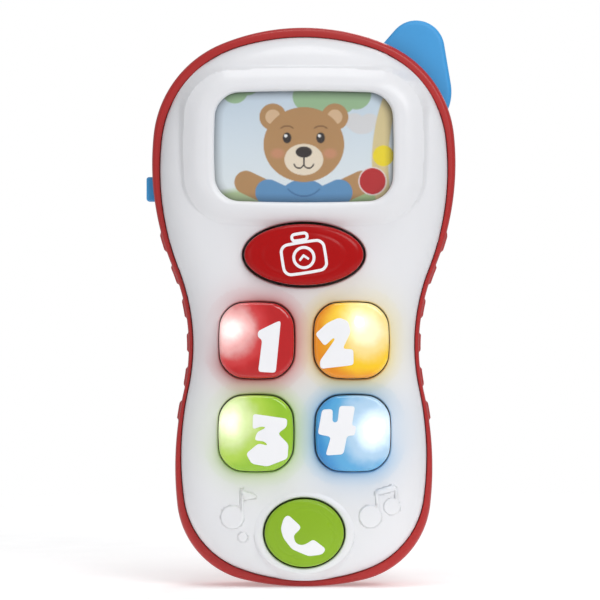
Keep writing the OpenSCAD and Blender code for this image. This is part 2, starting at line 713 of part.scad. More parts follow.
module lamp_wires() color("red") {
    for (side = [-1, 1])
        wire([[side * 2, board_back + 0.1, 96], [side * 2, -0.8, 96], [side * 2, 0, 97.4], [side * 2, -0.2, 100],
            [side * 2, -1.4, 104], [side * 2, -3, 108], [side * 2, -4.2, 111.4], [side * 2, -4.9, 115],
            [side * 2, lamp_board_y + 0.9, 115]], wire_r);
}

front_shell();
rear_shell();
screen_window();
picture_card();
picture_frame();
camera_button();
camera_mark();
key(0, "crimson");  // key_1
key(1, "gold");  // key_2
key(2, "yellowgreen");  // key_3
key(3, "steelblue");  // key_4
numeral(0);  // numeral_1
numeral(1);  // numeral_2
numeral(2);  // numeral_3
numeral(3);  // numeral_4
call_button();
handset_mark();
keypad_membrane();
circuit_board();
sound_chip();
board_components();
key_lamps();
screen_lamp();
speaker();
speaker_clamp();
antenna();
antenna_washer();
antenna_screw();
side_slider();
switch_actuator();
slide_switch();
switch_board();
battery_cells();
battery_springs();
battery_contacts();
battery_door();
door_screw();
case_screws();
battery_wires();
speaker_wires();
switch_wires();
lamp_wires();
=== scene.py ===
"""Looks of the toy telephone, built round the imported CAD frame. Lengths are millimetres unless named _m."""

import math
from concurrent.futures import ThreadPoolExecutor
import bmesh
import bpy
import numpy as np
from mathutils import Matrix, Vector


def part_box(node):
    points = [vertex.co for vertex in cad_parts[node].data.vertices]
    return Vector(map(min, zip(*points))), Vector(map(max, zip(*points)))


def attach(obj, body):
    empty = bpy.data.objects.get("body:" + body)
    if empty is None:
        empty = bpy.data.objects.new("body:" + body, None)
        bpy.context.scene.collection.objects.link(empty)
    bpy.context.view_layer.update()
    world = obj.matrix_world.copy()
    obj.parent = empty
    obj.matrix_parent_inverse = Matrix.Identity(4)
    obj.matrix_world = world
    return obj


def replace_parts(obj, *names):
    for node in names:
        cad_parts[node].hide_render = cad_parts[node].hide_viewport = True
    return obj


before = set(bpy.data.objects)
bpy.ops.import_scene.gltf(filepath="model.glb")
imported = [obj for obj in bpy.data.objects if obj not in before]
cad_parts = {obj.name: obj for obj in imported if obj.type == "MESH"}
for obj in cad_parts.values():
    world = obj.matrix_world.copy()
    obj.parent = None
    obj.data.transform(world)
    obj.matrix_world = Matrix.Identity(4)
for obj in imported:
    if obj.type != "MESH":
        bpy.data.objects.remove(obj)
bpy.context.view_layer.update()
MM = 0.001


def add_object(name, data):
    """Object in the scene for some data."""
    made = bpy.data.objects.new(name, data)
    bpy.context.scene.collection.objects.link(made)
    return made


# ---- Camera: square on to the face, through a long lens ----
LENS = 200.0
SENSOR = 36.0
VIEW_WIDTH = 162.0
LOOK_AT = (-1.03, -5.0, 77.5)


def make_camera():
    data = bpy.data.cameras.new("camera")
    data.lens = LENS
    data.sensor_width = SENSOR
    data.clip_end = 100
    cam = add_object("camera", data)
    distance = LENS * VIEW_WIDTH / SENSOR
    cam.location = Vector((LOOK_AT[0], LOOK_AT[1] - distance, LOOK_AT[2])) * MM
    cam.rotation_euler = (math.radians(90), 0, 0)
    bpy.context.scene.camera = cam


make_camera()

# ---- Driving dimensions: sizes and places are the same as the CAD source's ----
CASING_ARCS = [(58.5, 22.3), (30, 61.7), (74, 28.6), (-55, 35.4), (92, 19.2), (23.4, 70.5)]
FACE_ARCS = [(59.5, 17.7), (29.3, 65.8), (73.6, 27.9), (-55.9, 33.75), (85, 20.1), (23.3, 61.05)]
RIM_TOP = 2.8
BACK_Y = 18.0
RIM_Y = -5.0
FACE_Y = 13.5
WALL = 2.0
SCREEN = (0.0, 118.5)
BEZEL = (64.5, 42.5)
WINDOW = (48.0, 29.8)
BEZEL_RISE = 2.4
BEZEL_Y = FACE_Y + BEZEL_RISE
KEYS = [(-12.6, 66.7), (12.7, 66.7), (-12.8, 41.9), (13.1, 41.9)]
KEY_SIZE = (20.0, 20.3)
KEY_CORNER = 5.1
KEY_BOW = 0.9
KEY_TOP = FACE_Y + 2.9
# Where each key glows brightest, from its middle
GLOWS = [(-7.0, 3.1), (1.9, 5.4), (-6.7, 2.9), (5.3, 1.4)]
CAMERA_AT = (0.0, 89.6)
CAMERA_SIZE = (31.8, 16.3)
CAMERA_TOP = FACE_Y + 3.9
CALL_AT = (0.1, 15.2)
CALL_SIZE = (21.2, 18.1)
CALL_TOP = FACE_Y + 2.4
COLLAR = (27.0, 22.2)
PIVOT = (27.3, 134.2)
ANTENNA_Y = 4.0
ANTENNA_T = 6.0
RIB_Z = [93.1, 84.3, 75.2, 66.0, 56.8, 47.6]
BOSSES = [(32.2, 116), (-31.5, 124), (24.5, 21.5), (-24.5, 21.5)]
GRILLE = (0.0, 118.0)
DOOR_Z = 60.0
DOOR = (31.4, 63.0)
SCREW_Z = 87.0


# ---- Outlines ----
def arc_outline(arcs, top_z, step=0.7):
    """Closed outline of tangent arcs (radius, degrees) and a closing bottom arc, clockwise from the top."""
    p = np.array([0.0, top_z])
    points = [p]
    heading = 0.0
    chain = list(arcs)
    while chain:
        radius, degrees = chain.pop(0)
        side = math.copysign(1, radius)
        turn = math.radians(degrees)
        centre = p + radius * np.array([-math.sin(heading), -math.cos(heading)])
        count = max(3, int(abs(radius) * turn / step))
        for i in range(1, count + 1):
            h = heading + side * turn * i / count
            points.append(centre - radius * np.array([-math.sin(h), -math.cos(h)]))
        p = points[-1]
        heading += side * turn
        rest = math.pi - heading
        if not chain and rest > 1e-6:
            chain.append((p[0] / math.sin(rest), math.degrees(rest)))
    half = np.array(points)
    return np.vstack([half, (half[-2:0:-1] * [-1, 1])])


def bowed(size, radius, bow, n=10, middle=(0, 0)):
    """Rounded rectangle whose sides bow out, counter-clockwise."""
    w = size[0] - 2 * bow
    h = size[1] - 2 * bow
    corners = []
    for c in range(4):
        sx = 1 if c in (0, 3) else -1
        sz = 1 if c < 2 else -1
        for i in range(n + 1):
            a = math.radians(90 * c + 90 * i / n)
            corners.append((sx * (w / 2 - radius) + radius * math.cos(a),
                            sz * (h / 2 - radius) + radius * math.sin(a)))
    points = []
    for k, p in enumerate(corners):
        q = corners[(k + 1) % len(corners)]
        steps = 2 * n if (k + 1) % (n + 1) == 0 else 1
        points += [(p[0] + (q[0] - p[0]) * t / steps, p[1] + (q[1] - p[1]) * t / steps) for t in range(steps)]
    p = np.array(points)
    bow_x = np.sign(p[:, 0]) * bow * (1 - (2 * p[:, 1] / h) ** 2)
    bow_z = np.sign(p[:, 1]) * bow * (1 - (2 * p[:, 0] / w) ** 2)
    return p + np.stack([bow_x, bow_z], 1) + np.array(middle)


def oval(size, n=120, middle=(0, 0)):
    a = np.linspace(0, 2 * math.pi, n, endpoint=False)
    return np.stack([size[0] / 2 * np.cos(a), size[1] / 2 * np.sin(a)], 1) + np.array(middle)


def grown(size, d):
    return (size[0] + 2 * d, size[1] + 2 * d)


def softened(points, radius, n=5):
    """Polygon with each corner replaced by a smooth curve that starts radius away from it."""
    points = np.array(points, float)
    out = []
    for i, p in enumerate(points):
        before = points[i - 1] - p
        after = points[(i + 1) % len(points)] - p
        a = p + before * min(0.5, radius / np.linalg.norm(before))
        b = p + after * min(0.5, radius / np.linalg.norm(after))
        out += [(1 - t) ** 2 * a + 2 * t * (1 - t) * p + t * t * b for t in np.linspace(0, 1, n)]
    return np.array(out)


def turned(points, degrees, about=(0, 0)):
    """Points turned about a place."""
    a = math.radians(degrees)
    centre = np.array(about, float)
    d = np.array(points, float) - centre
    return np.stack([d[:, 0] * math.cos(a) - d[:, 1] * math.sin(a),
                     d[:, 0] * math.sin(a) + d[:, 1] * math.cos(a)], 1) + centre


# ---- Distance fields: positive inside ----
FAR = 4.0
CHUNK = 600
workers = ThreadPoolExecutor(4)


def inside_distance(line):
    """Function of points (n, 2) that gives the signed distance to a closed outline, positive inside it.
    Points well outside the outline's box get a rougher distance."""
    a = np.array(line, float)
    d = np.roll(a, -1, 0) - a
    length2 = (d ** 2).sum(1) + 1e-12
    slope = d[:, 0] / np.where(d[:, 1] == 0, 1e-12, d[:, 1])
    low = a.min(0) - FAR
    high = a.max(0) + FAR

    def signed(q):
        x = q[:, :1] - a[:, 0]
        z = q[:, 1:] - a[:, 1]
        t = np.clip((x * d[:, 0] + z * d[:, 1]) / length2, 0, 1)
        best = np.sqrt(((x - t * d[:, 0]) ** 2 + (z - t * d[:, 1]) ** 2).min(1))
        spans = (z < 0) != (z - d[:, 1] < 0)
        odd = (spans & (x < z * slope)).sum(1) % 2 == 1
        return np.where(odd, best, -best)

    def field(p):
        beyond = np.maximum(low - p, p - high).max(1)
        result = -FAR - np.maximum(beyond, 0)
        near = np.flatnonzero(beyond <= 0)
        chunks = [near[i:i + CHUNK] for i in range(0, len(near), CHUNK)]
        for rows, values in zip(chunks, workers.map(signed, [p[rows] for rows in chunks])):
            result[rows] = values
        return result
    return field


def disc(at, radius):
    return lambda p: radius - np.hypot(p[:, 0] - at[0], p[:, 1] - at[1])


def either(*fields):
    return lambda p: np.max([f(p) for f in fields], axis=0)


def both(*fields):
    return lambda p: np.min([f(p) for f in fields], axis=0)


def outside(field):
    return lambda p: -field(p)


def gradient(field, p):
    """Unit direction in which a field grows."""
    e = 0.02
    slope = np.stack([field(p + [e, 0]) - field(p - [e, 0]), field(p + [0, e]) - field(p - [0, e])], 1)
    return slope / np.linalg.norm(slope, axis=1)[:, None]


def drawn_in(field, p, least=0.06):
    """Points, with those nearer than least to where the field ends moved in to that depth."""
    q = p.copy()
    near = np.flatnonzero(field(p) < least)
    q[near] += gradient(field, p[near]) * (least - field(p[near]))[:, None]
    return q


def quarter_round(d, reach, rise):
    """Height from 0 at d = 0 to rise at d = reach, along a quarter ellipse."""
    u = 1 - np.clip(d / reach, 0, 1)
    return rise * np.sqrt(np.maximum(0, 1 - u * u))


def smooth_max(a, b, k):
    """The larger of two, blended where they differ by less than k."""
    h = np.clip(0.5 + 0.5 * (a - b) / k, 0, 1)
    return b + (a - b) * h + k * h * (1 - h)


# ---- Meshes ----
def cut_along(p, tri, value, level, keep_above=False):
    """Splits triangles along value = level, and can drop what is below. Returns points, triangles, values."""
    s = value - level
    s[np.abs(s) < 1e-7] = 1e-7
    below = s < 0
    count = below[tri].sum(1)
    mixed = (count == 1) | (count == 2)
    m = tri[mixed]
    odd_below = count[mixed] == 1
    odd = np.where(odd_below, below[m].argmax(1), (~below[m]).argmax(1))
    rows = np.arange(len(m))
    a, b, c = (m[rows, (odd + j) % 3] for j in range(3))
    edges = np.sort(np.concatenate([np.stack([a, b], 1), np.stack([a, c], 1)]), axis=1)
    unique, index = np.unique(edges, axis=0, return_inverse=True)
    index = index.reshape(-1)
    t = (s[unique[:, 0]] / (s[unique[:, 0]] - s[unique[:, 1]]))[:, None]
    fresh = p[unique[:, 0]] * (1 - t) + p[unique[:, 1]] * t
    ab, ac = len(p) + index[:len(m)], len(p) + index[len(m):]
    single = np.stack([a, ab, ac], 1)
    pair = np.concatenate([np.stack([ab, b, c], 1), np.stack([ab, c, ac], 1)])
    if keep_above:
        whole = tri[count == 0]
        tri = np.concatenate([whole, single[~odd_below], pair[np.tile(odd_below, 2)]])
    else:
        tri = np.concatenate([tri[~mixed], single, pair])
    return np.vstack([p, fresh]), tri, np.concatenate([value, np.full(len(fresh), level)])


def region(field, low, high, step, levels=(), extra=()):
    """Flat triangulation of where field is positive, with lines of vertices along its boundary and each
    level, and along the levels of any extra (field, levels)."""
    xs = np.arange(low[0] - step, high[0] + 2 * step, step)
    zs = np.arange(low[1] - step, high[1] + 2 * step, step)
    gx, gz = np.meshgrid(xs, zs, indexing="ij")
    p = np.stack([gx.ravel(), gz.ravel()], 1)
    i, j = np.meshgrid(np.arange(len(xs) - 1), np.arange(len(zs) - 1), indexing="ij")
    n = len(zs)
    a, b, c, d = (x.ravel() for x in (i * n + j, (i + 1) * n + j, (i + 1) * n + j + 1, i * n + j + 1))
    flip = ((i + j) % 2 == 0).ravel()
    first = np.where(flip[:, None], np.stack([a, b, c], 1), np.stack([a, b, d], 1))
    second = np.where(flip[:, None], np.stack([a, c, d], 1), np.stack([b, c, d], 1))
    tri = np.concatenate([first, second])
    value = field(p)
    near = value[tri].max(1) > -step
    tri = tri[near]
    # Grid points that lie close to the boundary move onto it, so that no sliver is left there
    e = 1e-3
    close = np.abs(value) < 0.3 * step
    across = field(p[close] + [e, 0]) - value[close]
    along = field(p[close] + [0, e]) - value[close]
    p[close] -= np.stack([across, along], 1) / e * value[close][:, None]
    value[close] = 0
    value = np.where(close, 2e-7, value)
    p, tri, value = cut_along(p, tri, value, 0.0, keep_above=True)
    for level in levels:
        p, tri, value = cut_along(p, tri, value, level)
    for other, other_levels in extra:
        value = other(p)
        for level in other_levels:
            p, tri, value = cut_along(p, tri, value, level)
    used, index = np.unique(tri, return_inverse=True)
    return p[used], index.reshape(-1, 3)


def boundary_edges(tri):
    """Directed edges that belong to one triangle only."""
    e = np.concatenate([tri[:, [0, 1]], tri[:, [1, 2]], tri[:, [2, 0]]])
    key = np.sort(e, axis=1)
    _, index, count = np.unique(key, axis=0, return_inverse=True, return_counts=True)
    return e[count[index.reshape(-1)] == 1]


def closed(outer, tri, inner):
    """Closed solid between an outer sheet and an inner one that share their triangles."""
    n = len(outer)
    edge = boundary_edges(tri)
    a, b = edge[:, 0], edge[:, 1]
    walls = np.concatenate([np.stack([b, a, a + n], 1), np.stack([b, a + n, b + n], 1)])
    return np.vstack([outer, inner]), np.concatenate([tri, tri[:, ::-1] + n, walls])


def mesh_object(name, points, faces, smooth_angle=40.0):
    """Points are millimetres. Edges sharper than the angle stay crisp."""
    mesh = bpy.data.meshes.new(name)
    points = np.asarray(points, np.float32) * MM
    if isinstance(faces, np.ndarray):
        mesh.vertices.add(len(points))
        mesh.vertices.foreach_set("co", points.ravel())
        mesh.loops.add(faces.size)
        mesh.loops.foreach_set("vertex_index", faces.astype(np.int32).ravel())
        mesh.polygons.add(len(faces))
        mesh.polygons.foreach_set("loop_start", np.arange(0, faces.size, 3, dtype=np.int32))
        mesh.update(calc_edges=True)
    else:
        mesh.from_pydata(points.tolist(), [], faces)
    mesh.validate()
    mesh.shade_smooth()
    mesh.set_sharp_from_angle(angle=math.radians(smooth_angle))
    return add_object(name, mesh)


def set_normals(made, count, normal):
    """Exact normals for the first count points; the rest keep the ones from their faces."""
    mesh = made.data
    values = np.zeros((len(mesh.vertices), 3), np.float32)
    values[:count] = normal
    mesh.normals_split_custom_set_from_vertices(values.tolist())


def piece(made, body, slot, material, *nodes):
    """Gives an object its body and material, and the CAD nodes that it stands in for. Its slot is not used."""
    made.data.materials.clear()
    made.data.materials.append(material)
    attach(made, body)
    if nodes:
        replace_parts(made, *nodes)
    return made


def relief(name, field, step, height, edge=0.12, thick=0.5, facing=-1, reach=60, middle=(0, 0)):
    """Thin closed solid on a surface: height(p) is how far the surface stands from y = 0, towards facing. Its
    edge rounds off over the width edge, and thick is how deep the solid goes."""
    low = (middle[0] - reach, middle[1] - reach)
    high = (middle[0] + reach, middle[1] + reach)
    p, tri = region(field, low, high, step, (edge * 0.12, edge * 0.4, edge))
    d = np.maximum(field(p), 0)
    crown = height(p)
    y = crown - (edge - quarter_round(d, edge, edge))
    outer = np.stack([p[:, 0], facing * y, p[:, 1]], 1)
    inner = np.stack([p[:, 0], facing * (crown - thick), p[:, 1]], 1)
    points, faces = closed(outer, tri if facing < 0 else tri[:, ::-1], inner)
    return mesh_object(name, points, faces, 50)


# Of the way from a cap's middle to where its edge begins
GROOVE_AT = 0.86
GROOVE_WIDTH = 0.035


def cap(name, line, at, top, back, edge, crown, groove=0.0):
    """Button cap: an outline drawn in ring by ring, with a skirt, a rounded edge and a crowned top. top and
    back are distances in front of y = 0, and groove is how deep a ring groove near the edge goes."""
    line = np.array(line)
    n = len(line)
    share = edge / np.linalg.norm(line, axis=1).min()
    rows = [(1.0, back)]
    for a in np.radians(np.linspace(0, 90, 10)):
        rows.append((1 - share * (1 - math.cos(a)), top - crown - edge * (1 - math.sin(a))))
    inner = 1 - share
    for u in np.linspace(1, 0, 26)[1:-1]:
        dip = groove * math.exp(-((u - GROOVE_AT) / GROOVE_WIDTH) ** 2)
        rows.append((inner * u, top - crown * u * u - dip))
    points = [(at[0] + x * u, -h, at[1] + z * u) for u, h in rows for x, z in line]
    points += [(at[0], -top, at[1]), (at[0], -back, at[1])]
    front, behind = len(points) - 2, len(points) - 1
    faces = []
    for j in range(len(rows) - 1):
        for i in range(n):
            a, b = j * n + i, j * n + (i + 1) % n
            faces.append((a, b, b + n, a + n))
    last = (len(rows) - 1) * n
    for i in range(n):
        faces.append((last + i, last + (i + 1) % n, front))
        faces.append(((i + 1) % n, i, behind))
    return mesh_object(name, points, faces, 45)


def cap_surface(line, at, top, edge, crown):
    """Height of a cap's crown over points (n, 2), for marks laid on it."""
    line = np.array(line)
    angles = np.arctan2(line[:, 1], line[:, 0])
    order = np.argsort(angles)
    radii = np.linalg.norm(line, axis=1)[order]
    share = edge / radii.min()

    def height(p):
        rel = p - np.array(at)
        reach = np.interp(np.arctan2(rel[:, 1], rel[:, 0]), angles[order], radii, period=2 * math.pi)
        u = np.hypot(rel[:, 0], rel[:, 1]) / (reach * (1 - share))
        return top - crown * np.minimum(u, 1) ** 2
    return height


# ---- Materials ----
def new_material(name):
    """A material, its nodes, its links and its shader."""
    m = bpy.data.materials.new(name)
    m.use_nodes = True
    nodes = m.node_tree.nodes
    return m, nodes, m.node_tree.links, nodes["Principled BSDF"]


def object_coordinates(nodes):
    return nodes.new("ShaderNodeTexCoord").outputs["Object"]


def noise(nodes, links, scale, detail=3.0, roughness=0.5):
    n = nodes.new("ShaderNodeTexNoise")
    set_inputs(n, {"Scale": scale, "Detail": detail, "Roughness": roughness})
    links.new(object_coordinates(nodes), n.inputs["Vector"])
    return n.outputs["Fac"]


def ranged(nodes, links, value, low, high, from_low=0.3, from_high=0.7):
    r = nodes.new("ShaderNodeMapRange")
    set_inputs(r, {"From Min": from_low, "From Max": from_high, "To Min": low, "To Max": high})
    links.new(value, r.inputs["Value"])
    return r.outputs["Result"]


def uneven(nodes, links, scale, detail, low, high):
    """Value that varies over the surface, from low to high."""
    return ranged(nodes, links, noise(nodes, links, scale, detail), low, high)


def mixed_colour(nodes, links, factor, a, b):
    m = nodes.new("ShaderNodeMix")
    m.data_type = "RGBA"
    set_inputs(m, {"A": (*a, 1), "B": (*b, 1)})
    links.new(factor, m.inputs["Factor"])
    return m.outputs["Result"]


def mixed_shader(nodes, links, factor, a, b, out):
    """Sends the surface of an output from shader a to shader b as factor grows."""
    mix = nodes.new("ShaderNodeMixShader")
    links.new(factor, mix.inputs["Fac"])
    links.new(a.outputs[0], mix.inputs[1])
    links.new(b.outputs[0], mix.inputs[2])
    links.new(mix.outputs["Shader"], out.inputs["Surface"])


def bumped(nodes, links, shader, value, distance, strength=1.0):
    b = nodes.new("ShaderNodeBump")
    set_inputs(b, {"Distance": distance, "Strength": strength})
    links.new(value, b.inputs["Height"])
    links.new(b.outputs["Normal"], shader.inputs["Normal"])


def srgb(r, g, b):
    """Linear colour from 0 to 255 display values."""
    return tuple(c / 255 / 12.92 if c <= 10 else ((c / 255 + 0.055) / 1.055) ** 2.4 for c in (r, g, b))


def set_inputs(node, values):
    for name, value in values.items():
        node.inputs[name].default_value = value


def plastic(name, colour, rough=0.35, coat=0.0, grain=0.00002, shift=0.06, soft=0.0):
    """Moulded plastic: faint flow marks in the colour, smudges in the gloss and a fine moulded grain."""
    m, nodes, links, shader = new_material(name)
    darker = tuple(c * (1 - shift) for c in colour)
    lighter = tuple(min(1, c * (1 + shift * 0.5)) for c in colour)
    flow = uneven(nodes, links, 38, 4, 0, 1)
    links.new(mixed_colour(nodes, links, flow, darker, lighter), shader.inputs["Base Color"])
    smudge = noise(nodes, links, 110, 5, 0.6)
    links.new(ranged(nodes, links, smudge, rough * 0.88, rough * 1.15), shader.inputs["Roughness"])
    bumped(nodes, links, shader, noise(nodes, links, 5200, 2), grain, 0.5)
    shader.inputs["IOR"].default_value = 1.49
    if coat:
        set_inputs(shader, {"Coat Weight": coat, "Coat Roughness": 0.12})
    if soft:
        set_inputs(shader, {"Subsurface Weight": soft, "Subsurface Radius": (1, 0.9, 0.85),
                            "Subsurface Scale": 0.0015})
    return m


def multiplied(nodes, links, a, b):
    m = nodes.new("ShaderNodeMix")
    m.data_type = "RGBA"
    m.blend_type = "MULTIPLY"
    m.inputs["Factor"].default_value = 1.0
    links.new(a, m.inputs["A"])
    links.new(b, m.inputs["B"])
    return m.outputs["Result"]


def tinted_by_attribute(m, attribute):
    """Multiplies a material's base colour by a colour attribute of the mesh."""
    nodes, links = m.node_tree.nodes, m.node_tree.links
    socket = nodes["Principled BSDF"].inputs["Base Color"]
    ink = nodes.new("ShaderNodeVertexColor")
    ink.layer_name = attribute
    links.new(multiplied(nodes, links, socket.links[0].from_socket, ink.outputs["Color"]), socket)


def metal(name, colour, rough=0.3, scale=900):
    """Plated steel with fine drawn lines and a little tarnish."""
    m, nodes, links, shader = new_material(name)
    tarnish = uneven(nodes, links, 260, 4, 0, 1)
    darker = tuple(c * 0.82 for c in colour)
    links.new(mixed_colour(nodes, links, tarnish, darker, colour), shader.inputs["Base Color"])
    lines = noise(nodes, links, scale * 4, 3)
    links.new(ranged(nodes, links, lines, rough * 0.8, rough * 1.3), shader.inputs["Roughness"])
    bumped(nodes, links, shader, lines, 0.00001, 0.5)
    shader.inputs["Metallic"].default_value = 1.0
    return m


def ramp(nodes, links, factor, stops):
    """Colour that runs smoothly through stops (position, colour)."""
    r = nodes.new("ShaderNodeValToRGB")
    r.color_ramp.interpolation = "EASE"
    while len(r.color_ramp.elements) < len(stops):
        r.color_ramp.elements.new(0.5)
    for element, (position, colour) in zip(r.color_ramp.elements, stops):
        element.position = position
        element.color = (*colour, 1)
    links.new(factor, r.inputs["Fac"])
    return r.outputs["Color"]


def share_from(nodes, links, place, reach):
    """0 at a place, growing to 1 at reach, with a slight waver. Both are metres."""
    away = nodes.new("ShaderNodeVectorMath")
    away.operation = "DISTANCE"
    away.inputs[1].default_value = place
    links.new(object_coordinates(nodes), away.inputs[0])
    wobble = uneven(nodes, links, 170, 3, -0.0009, 0.0009)
    add = nodes.new("ShaderNodeMath")
    add.operation = "ADD"
    links.new(away.outputs["Value"], add.inputs[0])
    links.new(wobble, add.inputs[1])
    return ranged(nodes, links, add.outputs[0], 0, 1, 0, reach)


GLOW_REACH_M = 0.018


def lit_plastic(name, deep, bright, painted_glow_colour, lamp, painted_glow_at, reach):
    """Translucent plastic over a lamp: it glows towards the lamp, and its base colour is painted paler towards
    a point near the lamp, as painted lamp light.
    """
    m, nodes, links, shader = new_material(name)
    # Painted light: the base colour runs from the deep colour to the pale one near the lamp
    share = share_from(nodes, links, painted_glow_at, reach)
    painted_glow_halfway = tuple((a + b) / 2 for a, b in zip(bright, painted_glow_colour))
    painted_glow_tints = [(0.0, painted_glow_colour), (0.10, painted_glow_colour), (0.27, painted_glow_halfway), (0.45, bright), (0.66, deep)]
    links.new(ramp(nodes, links, share, painted_glow_tints), shader.inputs["Base Color"])
    lights = [(0.0, (1.0, 1.0, 1.0))]
    for position, strength in ((0.08, 0.6), (0.2, 0.22), (0.4, 0.05)):
        lights.append((position, tuple(strength * c for c in painted_glow_colour)))
    lights.append((0.6, tuple(0.02 * c for c in bright)))
    share = share_from(nodes, links, lamp, GLOW_REACH_M)
    links.new(ramp(nodes, links, share, lights), shader.inputs["Emission Color"])
    links.new(uneven(nodes, links, 140, 4, 0.10, 0.18), shader.inputs["Roughness"])
    bumped(nodes, links, shader, noise(nodes, links, 700, 2), 0.00002, 0.3)
    set_inputs(shader, {"Emission Strength": 1.0, "IOR": 1.5, "Coat Weight": 0.5, "Coat Roughness": 0.05,
                        "Subsurface Weight": 0.2, "Subsurface Radius": tuple(0.3 + c for c in bright),
                        "Subsurface Scale": 0.002})
    return m


WHITE = srgb(232, 232, 235)
RED = srgb(178, 30, 28)
BUTTON_RED = srgb(172, 8, 10)
BLUE = srgb(62, 158, 222)
GREEN = srgb(140, 180, 38)
SHELL_WHITE = plastic("shell_white", WHITE, 0.36, 0.15, shift=0.02, soft=0.12)
# Painted light: the shell's colour is multiplied by a tint that paints the key lamps' glow round the keys
tinted_by_attribute(SHELL_WHITE, "painted_halo")
RIM_RED = plastic("rim_red", RED, 0.4, 0.1, grain=0.00003)
SATIN_BLUE = plastic("satin_blue", BLUE, 0.5, grain=0.00004)
MARK_WHITE = plastic("mark_white", srgb(243, 243, 246), 0.4, shift=0.015)
CAMERA_RED = plastic("camera_red", BUTTON_RED, 0.24, 0.06, grain=0.000008)
CALL_GREEN = plastic("call_green", GREEN, 0.3, 0.15, grain=0.00001)
for finish in (CAMERA_RED, CALL_GREEN):
    finish.node_tree.nodes["Principled BSDF"].inputs["Specular IOR Level"].default_value = 0.2


# ---- Front shell ----
face_line = arc_outline(FACE_ARCS, 0)
casing_line = arc_outline(CASING_ARCS, 0)
casing_line = casing_line - [0, casing_line[:, 1].min()]
CASING_H = casing_line[:, 1].max()
face_line = face_line - [0, face_line[:, 1].max() - CASING_H + RIM_TOP]
in_face = inside_distance(face_line)
in_casing = inside_distance(casing_line)
in_bezel = inside_distance(bowed(BEZEL, 10.5, 1.6, middle=SCREEN))
in_window = inside_distance(bowed(WINDOW, 6, 0.6, middle=SCREEN))
KEY_GAP = 0.3
CAMERA_GAP = 0.7
CALL_GAP = 0.45
openings = [in_window, inside_distance(oval(grown(CAMERA_SIZE, CAMERA_GAP), middle=CAMERA_AT)),
            inside_distance(oval(grown(CALL_SIZE, CALL_GAP), middle=CALL_AT))]
openings += [inside_distance(bowed(grown(KEY_SIZE, KEY_GAP), 5.2, 0.9, middle=k)) for k in KEYS]
in_collar = inside_distance(oval(COLLAR, middle=CALL_AT))
in_openings = either(*openings)
# A raised note with a dot at the bottom left, and a joined pair of notes at the bottom right
NOTES = [
    inside_distance(oval((6.4, 6.4), 48, (-19.1, 19.4))), inside_distance(oval((2.8, 2.8), 32, (-16.4, 14.0))),
    inside_distance([(-17.1, 19.4), (-16.0, 19.4), (-16.0, 27.2), (-17.1, 27.2)]),
    inside_distance(softened([(-17.1, 27.2), (-12.8, 25.5), (-12.5, 24.5), (-16.0, 23.8)], 0.5)),
    inside_distance(oval((6.2, 6.2), 48, (17.8, 19.6))), inside_distance(oval((4.6, 4.6), 40, (23.6, 22.2))),
    inside_distance([(19.5, 19.6), (20.6, 19.6), (20.0, 26.4), (18.9, 26.4)]),
    inside_distance([(24.6, 22.2), (25.7, 22.2), (25.0, 27.6), (24.0, 27.6)]),
    inside_distance(softened([(18.9, 26.6), (24.0, 28.2), (25.1, 26.6), (20.0, 25.2)], 0.4))]
in_notes = either(*NOTES)
NOTE_RISE = 0.55
# The dome starts from DOME_BASE at the edge, and the edge's wall reaches back to EDGE_BACK
DOME_BASE = 4.0
DOME_RISE = 9.5
DOME_REACH = 15.0
DOME_POWER = 2.3
EDGE_BACK = 2.0
# The bezel swells over its outer part, slopes down steeply outside its outline and blends into the dome
BEZEL_REACH = 5.5
BEZEL_SLOPE = 2.0
BEZEL_BLEND = 0.8
COLLAR_BASE = FACE_Y - 0.5
COLLAR_ROUND = 1.6
COLLAR_RISE = 0.9
COLLAR_SLOPE = 2.5
COLLAR_BLEND = 0.25
# Rounding at the window, and at all openings
WINDOW_ROUND = 1.9
WINDOW_DROP = 1.3
OPENING_ROUND = 0.5


def face_height(p):
    """How far the front shell stands in front of y = 0."""
    u = 1 - np.clip(in_face(p) / DOME_REACH, 0, 1)
    h = DOME_BASE + DOME_RISE * (1 - u ** DOME_POWER) ** (1 / DOME_POWER)
    d = in_bezel(p)
    swell = BEZEL_RISE * np.sin(np.clip(d / BEZEL_REACH, 0, 1) * math.pi / 2)
    bezel = BEZEL_Y - BEZEL_RISE + swell + BEZEL_SLOPE * np.minimum(d, 0)
    h = smooth_max(h, bezel, BEZEL_BLEND)
    d = in_collar(p)
    collar = COLLAR_BASE + quarter_round(d, COLLAR_ROUND, COLLAR_RISE) + COLLAR_SLOPE * np.minimum(d, 0)
    h = smooth_max(h, collar, COLLAR_BLEND)
    h = h + NOTE_RISE * np.clip(in_notes(p) / 0.35, 0, 1) ** 0.7
    h = h - (WINDOW_DROP - quarter_round(-in_window(p), WINDOW_ROUND, WINDOW_DROP))
    return h - (OPENING_ROUND - quarter_round(-in_openings(p), OPENING_ROUND, OPENING_ROUND))


def height_normals(height, p, y_sign=-1):
    """Normals of a surface given by its height over points."""
    e = 2e-3
    h = height(p)
    gx = (height(p + [e, 0]) - h) / e
    gz = (height(p + [0, e]) - h) / e
    n = np.stack([-gx, np.full(len(p), float(y_sign)), -gz], 1)
    return n / np.linalg.norm(n, axis=1)[:, None]


# Tints and reaches of the painted lamp glow round each key
HALO_TINTS = [(0.78, 0.30, 0.29), (1.0, 0.88, 0.42), (0.72, 0.88, 0.46), (0.42, 0.70, 0.95)]
HALO_NEAR = 2.2
HALO_WIDE = 6.5


def paint(made, name, colours):
    """Colour attribute with one colour for each vertex."""
    layer = made.data.color_attributes.new(name, "FLOAT_COLOR", "POINT")
    opaque = np.hstack([colours, np.ones((len(colours), 1))])
    layer.data.foreach_set("color", opaque.astype(np.float32).ravel())


